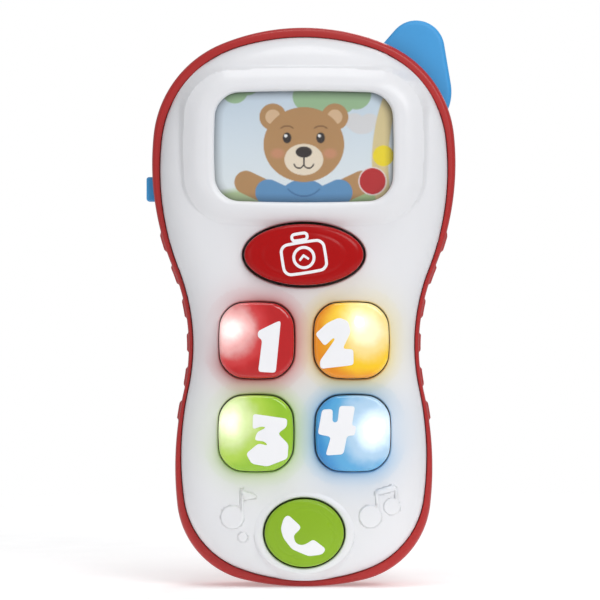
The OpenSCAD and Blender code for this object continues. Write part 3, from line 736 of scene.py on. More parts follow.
def painted_key_halo(p):
    """Painted light: a tint painted into the white shell's colour round the keys, standing in for the glow of
    their lamps shining through it.
    """
    colour = np.ones((len(p), 3))
    for at, off, tint in zip(KEYS, GLOWS, HALO_TINTS):
        away = np.maximum(0, -inside_distance(bowed(KEY_SIZE, KEY_CORNER, KEY_BOW, middle=at))(p))
        away = np.where(away > FAR, np.hypot(p[:, 0] - at[0], p[:, 1] - at[1]) - KEY_SIZE[0] * 0.5, away)
        from_lamp = np.hypot(p[:, 0] - at[0] - off[0], p[:, 1] - at[1] - off[1])
        share = 0.72 * np.exp(-(away / HALO_NEAR) ** 1.2) + 0.28 * np.exp(-(away / HALO_WIDE) ** 2)
        share = share * np.clip((from_lamp - 2) / 9, 0.35, 1)
        colour = colour * (1 - share[:, None] * (1 - np.array(tint)))
    return colour


# Size of the face's triangles, and the depths inside each outline along which they are cut
FACE_STEP = 0.55
FACE_LEVELS = (0.03, 0.12, 0.3, 0.55, 0.9, 1.3, 1.9, 2.8)
NOTE_LEVELS = (0.0, 0.15, 0.35)
BEZEL_LEVELS = (-2.2, -1.6, -1.1, -0.7, -0.3, 0.0, 0.4, 1.2, 2.2, 3.4, 4.6, 5.5)
COLLAR_LEVELS = (-0.4, -0.2, 0.0, 0.12, 0.4, 0.9)


def make_front_shell():
    field = both(in_face, outside(in_openings))
    p, tri = region(field, face_line.min(0), face_line.max(0), FACE_STEP, FACE_LEVELS,
                    [(in_notes, NOTE_LEVELS), (in_bezel, BEZEL_LEVELS), (in_collar, COLLAR_LEVELS)])
    h = face_height(p)
    normals = height_normals(face_height, drawn_in(field, p))
    outer = np.stack([p[:, 0], -h, p[:, 1]], 1)
    edge = in_face(p) < 0.02
    drop = np.where(edge, h - EDGE_BACK, WALL)
    inner = np.stack([p[:, 0], -(h - drop), p[:, 1]], 1)
    points, faces = closed(outer, tri, inner)
    made = mesh_object("front_cover", points, faces, 60)
    # Painted lamp glow round the keys, stored in the shell's colour
    paint(made, "painted_halo", np.vstack([painted_key_halo(p), painted_key_halo(p)]))
    set_normals(made, len(outer), normals)
    return piece(made, "case", "white_shell", SHELL_WHITE, "front_shell")


make_front_shell()


# ---- Rear shell ----
BAND_Y = 8.5
BACK_REACH = 8.0
ANTENNA_TIP = (30.6, 145.9)
ANTENNA_TIP_R = 7.7
ANTENNA_ROOT_R = 12.9
SWING = 10.0
SLIDER_Z = 107.6
SLIDER_Y = 3.0
SLIDER_TRAVEL = 5.0
SLIDER_SLOT = 3.6


def in_antenna(grow=0.0, swing=0.0):
    """Distance inside the hull of the antenna's two discs."""
    a = np.array(PIVOT)
    b = turned([ANTENNA_TIP], swing, PIVOT)[0]
    ra = ANTENNA_ROOT_R + grow
    rb = ANTENNA_TIP_R + grow
    length = np.linalg.norm(b - a)
    along = (b - a) / length
    tilt = (ra - rb) / length
    side = math.sqrt(1 - tilt * tilt)

    def field(p):
        rel = p - a
        x = rel @ along
        z = np.abs(rel @ np.array([-along[1], along[0]]))
        foot = x - z * tilt / side
        wall = ra - (x * tilt + z * side)
        beyond = rb - np.hypot(x - length, z)
        return np.where(foot < 0, ra - np.hypot(x, z), np.where(foot > length, beyond, wall))
    return field


door_line = bowed(grown(DOOR, 0.2), 4, 0.3, middle=(0, DOOR_Z))
in_door_gap = inside_distance(door_line)
GRILLE_PITCH = 3.6
grille_holes = [GRILLE] + [(GRILLE[0] + GRILLE_PITCH * row * math.cos(math.pi * i / 3 / row),
                            GRILLE[1] + GRILLE_PITCH * row * math.sin(math.pi * i / 3 / row))
                           for row in (1, 2, 3) for i in range(6 * row)]
GRILLE_HOLE_R = 1.0
SCREW_HOLE_R = 3.0
in_back_holes = either(in_door_gap, *[disc(g, GRILLE_HOLE_R) for g in grille_holes],
                       *[disc(b, SCREW_HOLE_R) for b in BOSSES])


def back_height(p):
    u = 1 - np.clip(in_casing(p) / BACK_REACH, 0, 1)
    h = BAND_Y + (BACK_Y - BAND_Y) * np.sqrt(np.maximum(0, 1 - u * u))
    return h - (0.35 - quarter_round(-in_back_holes(p), 0.35, 0.35))


def outer_loop(tri, p):
    """Vertices of the longest boundary, in order."""
    following = {int(a): int(b) for a, b in boundary_edges(tri)}
    best = []
    while following:
        start = next(iter(following))
        loop, at = [], start
        while at in following:
            loop.append(at)
            at = following.pop(at)
        if len(loop) > len(best):
            best = loop
    return np.array(best)


# A finer outline, for the band's points and normals
fine_line = arc_outline(CASING_ARCS, 0, 0.12)
in_fine_casing = inside_distance(fine_line - [0, fine_line[:, 1].min()])


def band_normals(rings, outward):
    """Normals of a band of rings (rows, points, 3), from the slopes along and across it. Where two points of
    a ring lie too close together to give a slope, the ring's usual one stands in."""
    along = np.roll(rings, -1, 1) - np.roll(rings, 1, 1)
    across = np.gradient(rings, axis=0)
    normals = np.cross(across, along)
    normals /= np.maximum(np.linalg.norm(normals, axis=2), 1e-9)[:, :, None]
    normals *= math.copysign(1, (normals[2] * outward).sum())
    out = np.median((normals * outward).sum(2), axis=1)
    back = np.median(normals[:, :, 1], axis=1)
    usual = out[:, None, None] * outward + back[:, None, None] * np.array([0, 1, 0])
    wild = (normals * usual).sum(2) < 0.6
    normals[wild] = usual[wild]
    return normals


BACK_STEP = 0.6
BACK_LEVELS = (0.03, 0.12, 0.35, 0.7, 1.2, 2, 3, 4.5, 6.5)
# Depths of the band's rings, from the back forward to where the rim's edge begins to round
BAND_RINGS = (8.2, 7.9, 7.35, 6.8, 6.3, 5.5, 4.7, 3.9, 3.1, 2.3, 1.5, 0.65, 0.2, -0.3, -1, -1.7, -2.1, -2.5,
              -3)
# The slots run between two of these rings, from the front one to the back one
ANTENNA_SLOT_Y = (0.65, 7.35)
SLIDER_SLOT_Y = (-0.3, 6.3)
RIM_GAP = 0.15
RIM_ROUND = 1.3
LIP_ROUND = 0.35
LIP_BACK_Y = -2.0
RIB_RISE = 0.5
RIB_HALF = 2.7
RIB_EASE = 0.6
RIB_FRONT_Y = -2.7
RIB_BACK_Y = 8.3


def make_rear_shell():
    field = both(in_casing, outside(in_back_holes))
    p, tri = region(field, casing_line.min(0), casing_line.max(0), BACK_STEP, BACK_LEVELS)
    tri = tri[:, ::-1]
    h = back_height(p)
    normals = height_normals(back_height, drawn_in(field, p), 1)
    points = np.stack([p[:, 0], h, p[:, 1]], 1)
    inner = points - normals * WALL
    loop = outer_loop(tri, p)
    outward = -gradient(in_fine_casing, p[loop] + gradient(in_casing, p[loop]))
    base = p[loop] + outward * in_fine_casing(p[loop])[:, None]
    points[loop, 0] = base[:, 0]
    points[loop, 2] = base[:, 1]
    rim_width = -in_face(base) - RIM_GAP
    off_rib = np.min([np.abs(base[:, 1] - z) for z in RIB_Z], axis=0)
    rib_across = np.clip((RIB_HALF - off_rib) / RIB_EASE, 0, 1) * (np.abs(base[:, 0]) > 20)
    # Each row is how far a ring is drawn in, its depth, and the same two for the wall's inner side
    rows = []
    for y in BAND_RINGS:
        rib_along = min(1, max(0, (RIB_BACK_Y - y) / RIB_EASE)) * min(1, max(0, (y - RIB_FRONT_Y) / RIB_EASE))
        rows.append((np.zeros(len(base)) - RIB_RISE * rib_across * rib_along, y, WALL, max(y, -1.2)))
    round_w = np.minimum(RIM_ROUND, rim_width * 0.6)
    last_y = BAND_RINGS[-1]
    for k, a in enumerate(np.radians(np.linspace(0, 90, 9)[1:])):
        y = last_y + (RIM_Y - last_y) * math.sin(a)
        rows.append((round_w * (1 - math.cos(a)), y, WALL + 0.05 * k, -1.25 - 0.02 * k))
    to_lip = rim_width - LIP_ROUND
    rows.append((to_lip, RIM_Y, WALL + 0.5, -1.45))
    for k, a in enumerate(np.radians([30, 60, 90])):
        y = RIM_Y + LIP_ROUND * (1 - math.cos(a))
        rows.append((to_lip + LIP_ROUND * math.sin(a), y, WALL + 0.55, -1.5 - 0.02 * k))
    rows.append((rim_width, LIP_BACK_Y, WALL + 0.6, -1.6))
    outer_rows, inner_rows = [points], [inner]
    for inset, y, inner_inset, inner_y in rows:
        at = base - outward * np.reshape(inset, (-1, 1))
        outer_rows.append(np.stack([at[:, 0], np.full(len(at), float(y)), at[:, 1]], 1))
        at = base - outward * inner_inset
        inner_rows.append(np.stack([at[:, 0], np.full(len(at), float(inner_y)), at[:, 1]], 1))
    n, start = len(loop), len(points)
    ids = [loop] + [start + n * j + np.arange(n) for j in range(len(rows))]
    ys = [BAND_Y] + [r[1] for r in rows]
    swept = np.max([in_antenna(0.4, s)(base) for s in (-SWING, 0, SWING)], axis=0) > 0
    by_slider = (base[:, 0] < 0) & (base[:, 1] > SLIDER_Z - SLIDER_SLOT)
    by_slider &= base[:, 1] < SLIDER_Z + SLIDER_SLOT + SLIDER_TRAVEL
    band = []
    for j in range(len(rows)):
        a, b = ids[j], np.roll(ids[j], -1)
        c, d = np.roll(ids[j + 1], -1), ids[j + 1]
        hole = np.zeros(n, bool)
        for slot, (low, high) in ((swept, ANTENNA_SLOT_Y), (by_slider, SLIDER_SLOT_Y)):
            if ys[j] <= high and ys[j + 1] >= low:
                hole |= slot & np.roll(slot, -1)
        keep = ~hole
        band.append(np.stack([b, a, d], 1)[keep])
        band.append(np.stack([b, d, c], 1)[keep])
    outer, inner = np.vstack(outer_rows), np.vstack(inner_rows)
    points, faces = closed(outer, np.concatenate([tri] + band), inner)
    made = mesh_object("rear_cover", points, faces, 50)
    normals[loop] = np.stack([outward[:, 0], np.zeros(n), outward[:, 1]], 1)
    slopes = band_normals(outer[start:].reshape(len(rows), n, 3), normals[loop])
    set_normals(made, len(outer), np.vstack([normals, slopes.reshape(-1, 3)]))
    piece(made, "case", "red_shell", RIM_RED, "rear_shell")


make_rear_shell()

# ---- Keys, buttons and their marks ----
# Each key's deep, bright and pale colours; the pale one is painted lamp light, which the key's colour runs to
# near its lamp
KEY_COLOURS = [
    (srgb(188, 10, 16), srgb(208, 40, 44), srgb(250, 215, 212)),
    (srgb(232, 140, 5), srgb(255, 205, 25), srgb(255, 246, 200)),
    (srgb(150, 196, 38), srgb(176, 212, 66), srgb(240, 248, 205)),
    (srgb(28, 128, 198), srgb(88, 170, 220), srgb(228, 242, 252))]
KEY_NAMES = ["red", "yellow", "green", "blue"]
NUMERALS = [
    [(0.3, 2.6), (0.3, 0.9), (1.5, 0.2), (0.4, -8.7), (5.2, -9.0), (6.6, 5.4), (5.7, 5.3)],
    [(-9.9, 1.8), (-6.6, 4.9), (-3.4, 6.4), (-0.9, 5.4), (-0.2, 2.4), (-2.4, -2.3), (0.5, -2.4),
     (0.6, -6.8), (-8.4, -7.9), (-8.7, -5.8), (-4.5, 0.3), (-4.9, 0.8), (-7.3, -1.6)],
    [(-0.8, 5.5), (8.6, 4.1), (8.4, 1.8), (6.0, 0.0), (8.9, -3.0), (8.6, -7.0), (3.1, -9.2), (-1.2, -8.4),
     (-2.7, -5.6), (0.7, -2.7), (3.3, -3.4), (2.4, -2.2), (-0.4, -1.9), (0.3, 0.4), (2.9, 1.7), (1.4, 2.0),
     (-0.9, 1.1)],
    [(-8.4, 6.7), (-5.5, 6.8), (-5.6, 3.1), (-4.2, 3.1), (-3.7, 7.7), (0.6, 7.6), (-0.3, 2.2), (0.9, 2.1),
     (0.5, -0.6), (-1.6, -0.6), (-2.6, -5.8), (-7.5, -6.1), (-6.0, -0.9), (-9.6, -0.2)]]
CAP_BACK = FACE_Y - WALL - 1.6
KEY_EDGE = 1.0
KEY_CROWN = 0.35
MARK_RISE = 0.07
NUMERAL_SCALE = (0.98, 0.96)
# Reach and shift of each key's painted lamp glow in its colour
PAINTED_GLOW_REACHES_M = (0.019, 0.021, 0.02, 0.026)
PAINTED_GLOW_SHIFTS = [(0, 0), (2.6, -2.4), (0, 0), (0, 0)]


def mark(name, field, surface, middle, body, reach=10.5):
    """White mark that stands a little above a button's surface."""
    made = relief(name, field, 0.16, lambda p: surface(p) + MARK_RISE, 0.1, 0.4, -1, reach, middle)
    return piece(made, body, "mark_white", MARK_WHITE)


for k, (at, lamp_off) in enumerate(zip(KEYS, GLOWS)):
    outline = bowed(KEY_SIZE, KEY_CORNER, KEY_BOW, 16)
    lamp_m = ((at[0] + lamp_off[0]) * MM, -KEY_TOP * MM, (at[1] + lamp_off[1]) * MM)
    painted_glow_m = (lamp_m[0] + PAINTED_GLOW_SHIFTS[k][0] * MM, lamp_m[1], lamp_m[2] + PAINTED_GLOW_SHIFTS[k][1] * MM)
    finish = lit_plastic(f"lit_{KEY_NAMES[k]}", *KEY_COLOURS[k], lamp_m, painted_glow_m, PAINTED_GLOW_REACHES_M[k])
    made = cap(f"key_cap_{k + 1}", outline, at, KEY_TOP, CAP_BACK, KEY_EDGE, KEY_CROWN)
    piece(made, f"number_key_{k + 1}", f"key_{KEY_NAMES[k]}", finish, f"key_{k + 1}")
    shape = softened(np.array(NUMERALS[k]) * NUMERAL_SCALE, 0.9) + np.array(at)
    surface = cap_surface(outline, at, KEY_TOP, KEY_EDGE, KEY_CROWN)
    numeral = mark(f"numeral_{k + 1}_relief", inside_distance(shape), surface, at, f"number_key_{k + 1}")
    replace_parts(numeral, f"numeral_{k + 1}")

# Each button's edge and crown
CAMERA_ROUND = (1.3, 0.6)
CALL_ROUND = (1.1, 0.5)
GROOVE = 0.12
camera_oval = oval(CAMERA_SIZE, 160)
made = cap("camera_cap", camera_oval, CAMERA_AT, CAMERA_TOP, CAP_BACK, *CAMERA_ROUND, GROOVE)
piece(made, "camera_key", "button_red", CAMERA_RED, "camera_button")
call_oval = oval(CALL_SIZE, 140)
made = cap("call_cap", call_oval, CALL_AT, CALL_TOP, CAP_BACK, *CALL_ROUND, GROOVE)
piece(made, "call_key", "button_green", CALL_GREEN, "call_button")

ICON_TURN = 9.0
ICON_AT = (CAMERA_AT[0], CAMERA_AT[1] - 0.8)
LINE = 0.8
LENS_RADIUS = 3.1


def tilted(points):
    """Points about the icon's middle, laid at its place and turned with it."""
    return turned(np.array(points) + np.array(ICON_AT), ICON_TURN, ICON_AT)


def outlined(field):
    """Line along the inside of an outline."""
    return lambda p: np.minimum(field(p), LINE - field(p))


icon_body = inside_distance(tilted(bowed((12.4, 9.0), 2.1, 0.2)))
icon_bump = inside_distance(tilted(bowed((4.9, 2.6), 1.0, 0.1) + np.array((-0.3, 5.6))))
TICK = [(-1.5, -0.4), (0, 1), (1.5, -0.4), (1.1, -0.9), (0, 0.1), (-1.1, -0.9)]
icon_tick = inside_distance(softened(tilted(TICK), 0.2))
in_mark = either(outlined(icon_body), outlined(icon_bump), outlined(disc(ICON_AT, LENS_RADIUS)), icon_tick)
surface = cap_surface(camera_oval, CAMERA_AT, CAMERA_TOP, *CAMERA_ROUND)
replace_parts(mark("camera_relief", in_mark, surface, CAMERA_AT, "camera_key", 9), "camera_mark")

HANDSET = [(-4.3, 5.0), (-0.9, 1.9), (-1.3, 0.9), (-2.9, -0.5), (-2.3, -2.6), (-0.6, -3.2), (1.0, -2.5),
           (2.4, -1.5), (5.8, -4.1), (4.9, -5.6), (1.2, -6.1), (-3.3, -4.2), (-5.6, -1.2), (-6.3, 1.3),
           (-5.5, 4.1)]
surface = cap_surface(call_oval, CALL_AT, CALL_TOP, *CALL_ROUND)
handset = inside_distance(softened(np.array(HANDSET), 0.9) + np.array(CALL_AT))
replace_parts(mark("handset_relief", handset, surface, CALL_AT, "call_key", 8), "handset_mark")


# ---- Screen ----
PICTURE_Y = BEZEL_Y - 3.1
card_material, nodes, links, shader = new_material("printed_picture")
ink = nodes.new("ShaderNodeVertexColor")
ink.layer_name = "ink"
dots = uneven(nodes, links, 9000, 1, 0.985, 1.0)
links.new(multiplied(nodes, links, ink.outputs["Color"], dots), shader.inputs["Base Color"])
shader.inputs["Roughness"].default_value = 0.5
PICTURE_GAIN = 0.97


def paint_picture(p):
    """Linear ink colours of a plain picture: sky, cloud, leaves, trunk, meadow and a simple teddy bear,
    darkened towards the window's edges as painted shade.
    """
    q = p - np.array(SCREEN)
    x = q[:, 0]
    z = q[:, 1]
    sky = np.clip((z + 15) / 30, 0, 1)[:, None]
    colour = np.array(srgb(236, 242, 244)) * (1 - sky) + np.array(srgb(206, 222, 236)) * sky

    def lay(field, tint, soft=0.15):
        """Paints a shape over what is there, with an edge as wide as soft."""
        nonlocal colour
        share = np.clip(field / soft + 0.5, 0, 1)[:, None]
        colour = colour * (1 - share) + np.array(tint) * share

    def blob(cx, cz, rx, rz=None):
        """Oval shape."""
        rz = rz or rx
        return (1 - np.hypot((x - cx) / rx, (z - cz) / rz)) * min(rx, rz)

    def limb(x0, z0, x1, z1, r):
        """Bar with round ends."""
        dx = x1 - x0
        dz = z1 - z0
        along = np.clip(((x - x0) * dx + (z - z0) * dz) / (dx ** 2 + dz ** 2), 0, 1)
        return r - np.hypot(x - x0 - along * dx, z - z0 - along * dz)

    for cx, cz, rx, rz in ((13.5, 6.8, 2.6, 2.2), (15.5, 5.6, 3.4, 2.2), (17.6, 7.0, 2.4, 1.9)):
        lay(blob(cx, cz, rx, rz), srgb(222, 222, 224), 0.4)
    lay(blob(-10, -19, 24, 8), srgb(184, 204, 158), 1.5)
    lay(blob(14, -19, 24, 8), srgb(170, 196, 140), 1.5)
    lay(np.minimum(x - 18.2 - 0.01 * (z + 4) ** 2, 22.6 + 0.01 * (z + 4) ** 2 - x), srgb(222, 204, 152), 0.3)
    for cx, cz, r in ((1, 13.5, 4), (5.5, 12, 4), (10, 13, 4.2), (14, 14, 4), (-18.5, 15.2, 3.6),
                      (-22, 16.5, 3.6), (-15, 16.8, 3)):
        lay(blob(cx, cz, r), srgb(158, 192, 150), 0.2)
    fur = srgb(186, 142, 92)
    fur_dark = srgb(140, 100, 60)
    cream = srgb(240, 226, 204)
    ink = srgb(40, 28, 26)
    shirt = srgb(96, 150, 196)
    shirt_dark = srgb(70, 118, 166)
    for side in (-1, 1):
        lay(limb(side * 7, -13.5, side * 15.5, -9.5, 3.1), fur)
        lay(limb(side * 6, -13.8, side * 9.5, -12.2, 3.5), shirt)
        lay(blob(side * 8.3, 8.0, 3.6), fur)
        lay(blob(side * 8.3, 8.0, 2.0), srgb(222, 188, 150))
    lay(blob(0, -17.6, 8.2, 9), shirt)
    lay(np.minimum(0.2 - np.abs(np.hypot(x, z + 7.6) - 5.6), -11.2 - z), shirt_dark)
    lay(blob(0, 0.6, 10.8, 10), fur)
    lay(blob(0, -3.4, 5.2, 4.2), cream)
    lay(blob(0, -1.4, 2.2, 1.5), ink)
    lay(np.minimum(0.2 - np.abs(x), np.minimum(z + 4.6, -2.4 - z)), ink, 0.1)
    for side in (-1, 1):
        lay(np.minimum(0.2 - np.abs(np.hypot(x - side * 1.3, z + 4.4) - 1.3), -4.5 - z), ink, 0.1)
        lay(blob(side * 4.5, 2.4, 1.15, 1.45), ink)
        lay(blob(side * 4.5 - 0.35, 2.95, 0.42), srgb(250, 250, 250), 0.1)
        lay(blob(side * 7.0, -1.8, 1.8, 1.3), srgb(206, 146, 110), 0.9)
        lay(np.minimum(0.22 - np.abs(np.hypot(x - side * 4.5, z - 3.2) - 2.4), z - 4.9), fur_dark, 0.1)
    lay(blob(21.3, -2.4, 2.8), srgb(246, 222, 30))
    lay(blob(18.4, -9.2, 3.8), srgb(240, 226, 224))
    lay(blob(18.4, -9.2, 3.5), srgb(190, 22, 28))
    # Painted shade: the picture darkens towards the window's edges, where the recess would shade it
    painted_edge_shade = np.clip(in_window(p) / 2.4, 0, 1) ** 0.6
    return np.minimum(colour * PICTURE_GAIN, 1) * (0.35 + 0.65 * painted_edge_shade)[:, None]


def flat(y):
    """Height function of a flat surface."""
    return lambda p: np.full(len(p), y)


def make_picture():
    field = inside_distance(bowed(grown(WINDOW, 2), 6.2, 0.6, middle=SCREEN))
    made = relief("picture_print", field, 0.22, flat(PICTURE_Y), 0.05, 0.35, -1, 30, SCREEN)
    co = np.array([v.co for v in made.data.vertices]) / MM
    # The ink attribute holds the print's colours together with the painted edge shade
    paint(made, "ink", paint_picture(co[:, [0, 2]]))
    piece(made, "case", "printed_card", card_material, "picture_card")


make_picture()

# How the pane's mirror share grows as it is seen from the side, and its least and most
MIRROR_POWER = 3.0
MIRROR_SHARE = (0.02, 0.8)


def finished(node, material):
    """Puts a material on a CAD node that stays."""
    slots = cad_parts[node].data.materials
    slots.clear()
    slots.append(material)


def make_window():
    """Clear pane: lets light straight through and mirrors a little at a glancing angle."""
    m = bpy.data.materials.new("clear_pane")
    m.use_nodes = True
    nodes, links = m.node_tree.nodes, m.node_tree.links
    nodes.clear()
    through = nodes.new("ShaderNodeBsdfTransparent")
    gloss = nodes.new("ShaderNodeBsdfPrincipled")
    set_inputs(gloss, {"Base Color": (0.9, 0.93, 0.95, 1), "Metallic": 1.0})
    links.new(uneven(nodes, links, 90, 3, 0.03, 0.06), gloss.inputs["Roughness"])
    facing = nodes.new("ShaderNodeLayerWeight")
    share = nodes.new("ShaderNodeMath")
    share.operation = "POWER"
    share.inputs[1].default_value = MIRROR_POWER
    links.new(facing.outputs["Facing"], share.inputs[0])
    mirrored = ranged(nodes, links, share.outputs[0], *MIRROR_SHARE, 0, 1)
    mixed_shader(nodes, links, mirrored, through, gloss, nodes.new("ShaderNodeOutputMaterial"))
    finished("screen_window", m)


make_window()


# ---- Antenna, side slider and battery door ----
ANTENNA_EDGE = 1.3
PIVOT_HOLE_R = 2.05


def make_antenna():
    field = both(in_antenna(), outside(disc(PIVOT, PIVOT_HOLE_R)))
    p, tri = region(field, (10, 118), (45, 156), 0.5, (0.04, 0.15, 0.4, 0.8, ANTENNA_EDGE))
    d = np.maximum(field(p), 0)
    swell = ANTENNA_T / 2 - (ANTENNA_EDGE - quarter_round(d, ANTENNA_EDGE, ANTENNA_EDGE))
    outer = np.stack([p[:, 0], ANTENNA_Y - swell, p[:, 1]], 1)
    inner = np.stack([p[:, 0], ANTENNA_Y + swell, p[:, 1]], 1)
    points, faces = closed(outer, tri, inner)
    made = mesh_object("antenna_paddle", points, faces, 60)
    piece(made, "antenna_lever", "blue_plastic", SATIN_BLUE, "antenna")


make_antenna()


def block(bm, low, high, bevel):
    """Adds a box with bevelled edges."""
    made = bmesh.ops.create_cube(bm, size=1)
    low = Vector(low) * MM
    high = Vector(high) * MM
    for v in made["verts"]:
        v.co = Vector((low[i] + (v.co[i] + 0.5) * (high[i] - low[i]) for i in range(3)))
    edges = list({e for v in made["verts"] for e in v.link_edges})
    bmesh.ops.bevel(bm, geom=edges, offset=bevel * MM, segments=5, profile=0.5, affect="EDGES")


def bmesh_object(name, bm):
    mesh = bpy.data.meshes.new(name)
    bm.to_mesh(mesh)
    bm.free()
    mesh.shade_smooth()
    mesh.set_sharp_from_angle(angle=math.radians(35))
    return add_object(name, mesh)


def make_slider():
    """Knob with three grip ridges, and the guide plate behind it. Both are placed from the CAD node's box."""
    low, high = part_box("side_slider")
    left = low.x / MM
    right = high.x / MM
    bm = bmesh.new()

    def part(x0, x1, half_y, z, half_z, bevel):
        block(bm, (x0, SLIDER_Y - half_y, SLIDER_Z + z - half_z),
              (x1, SLIDER_Y + half_y, SLIDER_Z + z + half_z), bevel)

    part(left, left + 5.0, 3, 0, 3.3, 0.7)
    for z in (-1.8, 0, 1.8):
        part(left, left + 0.9, 2.2, z, 0.45, 0.3)
    part(right - 1.4, right, 4.2, 0, 6, 0.3)
    piece(bmesh_object("slider_knob", bm), "slider", "blue_plastic", SATIN_BLUE, "side_slider")


make_slider()


def make_door():
    """Battery door with four grip ridges at its top and a hole for its screw."""
    line = bowed(DOOR, 3.9, 0.3, middle=(0, DOOR_Z))
    field = both(inside_distance(line), outside(disc((0, SCREW_Z), SCREW_HOLE_R)))
    ridges = [inside_distance(oval((18, 1.3), 48, (0, DOOR_Z + 16 - 3 * i))) for i in range(4)]

    def height(p):
        raised = np.max([r(p) for r in ridges], axis=0)
        return BACK_Y - 0.3 * np.clip(raised / 0.4, 0, 1)
    made = relief("battery_cover", field, 0.5, height, 0.4, 1.8, 1, 36, (0, DOOR_Z))
    piece(made, "door", "red_shell", RIM_RED, "battery_door")


make_door()

BAY = (26, 50)
BAY_Z = 57.0
BAY_FLOOR_Y = 3.5
BAY_WALL = 1.5
LEDGE_Y = 16.0
LEDGE_T = 1.2


def make_bay():
    """Battery bay with the ledge that the door rests on, which show when the door is lifted."""
    bm = bmesh.new()
    half_w = BAY[0] / 2
    half_h = BAY[1] / 2
    low = BAY_FLOOR_Y - BAY_WALL
    for side in (-1, 1):
        x = sorted((side * half_w, side * (half_w + BAY_WALL)))
        block(bm, (x[0], low, BAY_Z - half_h - BAY_WALL), (x[1], LEDGE_Y, BAY_Z + half_h + BAY_WALL), 0.2)
        z = sorted((BAY_Z + side * half_h, BAY_Z + side * (half_h + BAY_WALL)))
        block(bm, (-half_w - BAY_WALL, low, z[0]), (half_w + BAY_WALL, LEDGE_Y, z[1]), 0.2)
    block(bm, (-half_w - 1, low, BAY_Z - half_h - 1), (half_w + 1, BAY_FLOOR_Y, BAY_Z + half_h + 1), 0.2)
    piece(bmesh_object("bay_tray", bm), "case", "red_shell", RIM_RED)
    in_bay = inside_distance(bowed(BAY, 0.5, 0, middle=(0, BAY_Z)))
    rim = inside_distance(bowed(grown(DOOR, 3.0), 5, 0.3, middle=(0, DOOR_Z)))
    field = both(rim, outside(in_bay), outside(disc((0, SCREW_Z), 1.3)))
    made = relief("bay_ledge", field, 0.6, flat(LEDGE_Y), 0.2, LEDGE_T, 1, 38, (0, DOOR_Z))
    piece(made, "case", "red_shell", RIM_RED)


make_bay()

# ---- CAD nodes that stay: the same shapes with better finishes ----
STEEL = metal("zinc_steel", (0.62, 0.62, 0.64), 0.28)
NICKEL = metal("nickel", (0.7, 0.68, 0.62), 0.25)
BOARD = plastic("solder_mask", srgb(20, 100, 55), 0.3, 0.2, shift=0.2)
BLACK = plastic("black_plastic", srgb(28, 28, 30), 0.5, shift=0.2)
CONE = plastic("speaker_cone", srgb(48, 48, 50), 0.7, grain=0.0001, shift=0.25)
SILICONE = plastic("silicone", srgb(205, 205, 200), 0.6, shift=0.05, soft=0.2)
INNER_WHITE = plastic("inner_white", srgb(225, 225, 225), 0.5)
LAMP = plastic("lamp_lens", srgb(245, 245, 235), 0.15, 0.4, shift=0.03, soft=0.3)
JACKET = plastic("cell_jacket", srgb(120, 124, 130), 0.25, 0.3, shift=0.1)
WIRE_RED = plastic("wire_red", srgb(190, 30, 30), 0.45)
WIRE_BLACK = plastic("wire_black", srgb(30, 30, 30), 0.45)
FINISHES = {
    "picture_frame": BLACK, "keypad_membrane": SILICONE, "circuit_board": BOARD, "switch_board": BOARD,
    "sound_chip": BLACK, "board_components": BLACK, "switch_actuator": BLACK, "key_lamps": LAMP,
    "screen_lamp": LAMP, "speaker": CONE, "speaker_clamp": INNER_WHITE, "antenna_washer": STEEL,
    "antenna_screw": STEEL, "case_screws": STEEL, "door_screw": STEEL, "slide_switch": NICKEL,
    "battery_springs": NICKEL, "battery_contacts": NICKEL, "battery_cells": JACKET, "battery_wires": WIRE_RED,
    "switch_wires": WIRE_RED, "lamp_wires": WIRE_RED, "speaker_wires": WIRE_BLACK}
for node, finish in FINISHES.items():
    finished(node, finish)


# ---- Floor and light ----
FLOOR_HALF_M = 6.0
FLOOR_GLOW = 0.3
FLOOR_FADE_M = (0.10, 0.45)


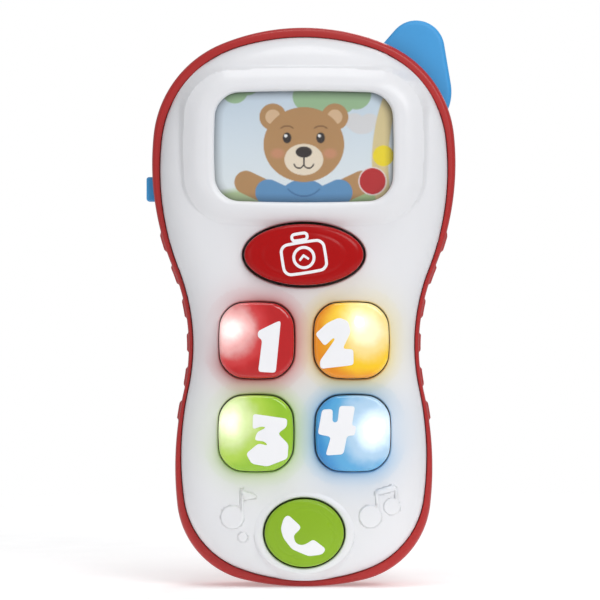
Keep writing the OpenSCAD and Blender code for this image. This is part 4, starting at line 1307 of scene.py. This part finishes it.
def make_floor():
    """Pale floor that fades into the white surroundings, from and to the distances of FLOOR_FADE_M."""
    mesh = bpy.data.meshes.new("floor")
    r = FLOOR_HALF_M
    mesh.from_pydata([(-r, -r, 0), (r, -r, 0), (r, r, 0), (-r, r, 0)], [], [(0, 1, 2, 3)])
    floor = add_object("floor", mesh)
    m, nodes, links, shader = new_material("pale_floor")
    grain = uneven(nodes, links, 60, 3, 0, 1)
    tint = mixed_colour(nodes, links, grain, (0.86, 0.86, 0.86), (0.9, 0.9, 0.9))
    links.new(tint, shader.inputs["Base Color"])
    set_inputs(shader, {"Roughness": 0.9, "Specular IOR Level": 0.1, "Emission Color": (1, 1, 1, 1),
                        "Emission Strength": FLOOR_GLOW})
    away = nodes.new("ShaderNodeVectorMath")
    away.operation = "LENGTH"
    links.new(object_coordinates(nodes), away.inputs[0])
    fade = ranged(nodes, links, away.outputs["Value"], 0, 1, *FLOOR_FADE_M)
    through = nodes.new("ShaderNodeBsdfTransparent")
    mixed_shader(nodes, links, fade, shader, through, nodes["Material Output"])
    mesh.materials.append(m)


def area_light(name, at, towards, size, power):
    data = bpy.data.lights.new(name, "AREA")
    data.shape = "DISK"
    data.size = size
    data.energy = power
    light = add_object(name, data)
    light.location = at
    light.rotation_euler = (Vector(towards) - Vector(at)).to_track_quat("-Z", "Y").to_euler()
    light.visible_camera = False


AMBIENT = 0.46
# Name, place, size and power of each studio lamp, all turned to the middle of the phone
AIMED_AT_M = (0, 0, 0.08)
STUDIO_LAMPS_M = [
    ("key", (0.22, -0.45, 0.36), 0.3, 1.1), ("fill", (-0.5, -0.8, 0.15), 0.5, 0.35),
    ("top", (0.0, -0.25, 0.9), 0.4, 1.6), ("back", (0.3, 0.8, 0.6), 0.6, 3.0)]


def make_light():
    """White all round as seen by the camera, with a dimmer white for the light it casts, and soft lamps."""
    world = bpy.data.worlds.new("studio")
    world.use_nodes = True
    nodes, links = world.node_tree.nodes, world.node_tree.links
    shown = nodes["Background"]
    shown.inputs["Color"].default_value = (1, 1, 1, 1)
    cast = nodes.new("ShaderNodeBackground")
    path = nodes.new("ShaderNodeLightPath")
    set_inputs(cast, {"Color": (0.97, 0.985, 1, 1), "Strength": AMBIENT})
    mixed_shader(nodes, links, path.outputs["Is Camera Ray"], cast, shown, nodes["World Output"])
    bpy.context.scene.world = world
    for name, at, size, power in STUDIO_LAMPS_M:
        area_light(name, at, AIMED_AT_M, size, power)


make_floor()
make_light()
bpy.context.scene.view_settings.view_transform = "Standard"
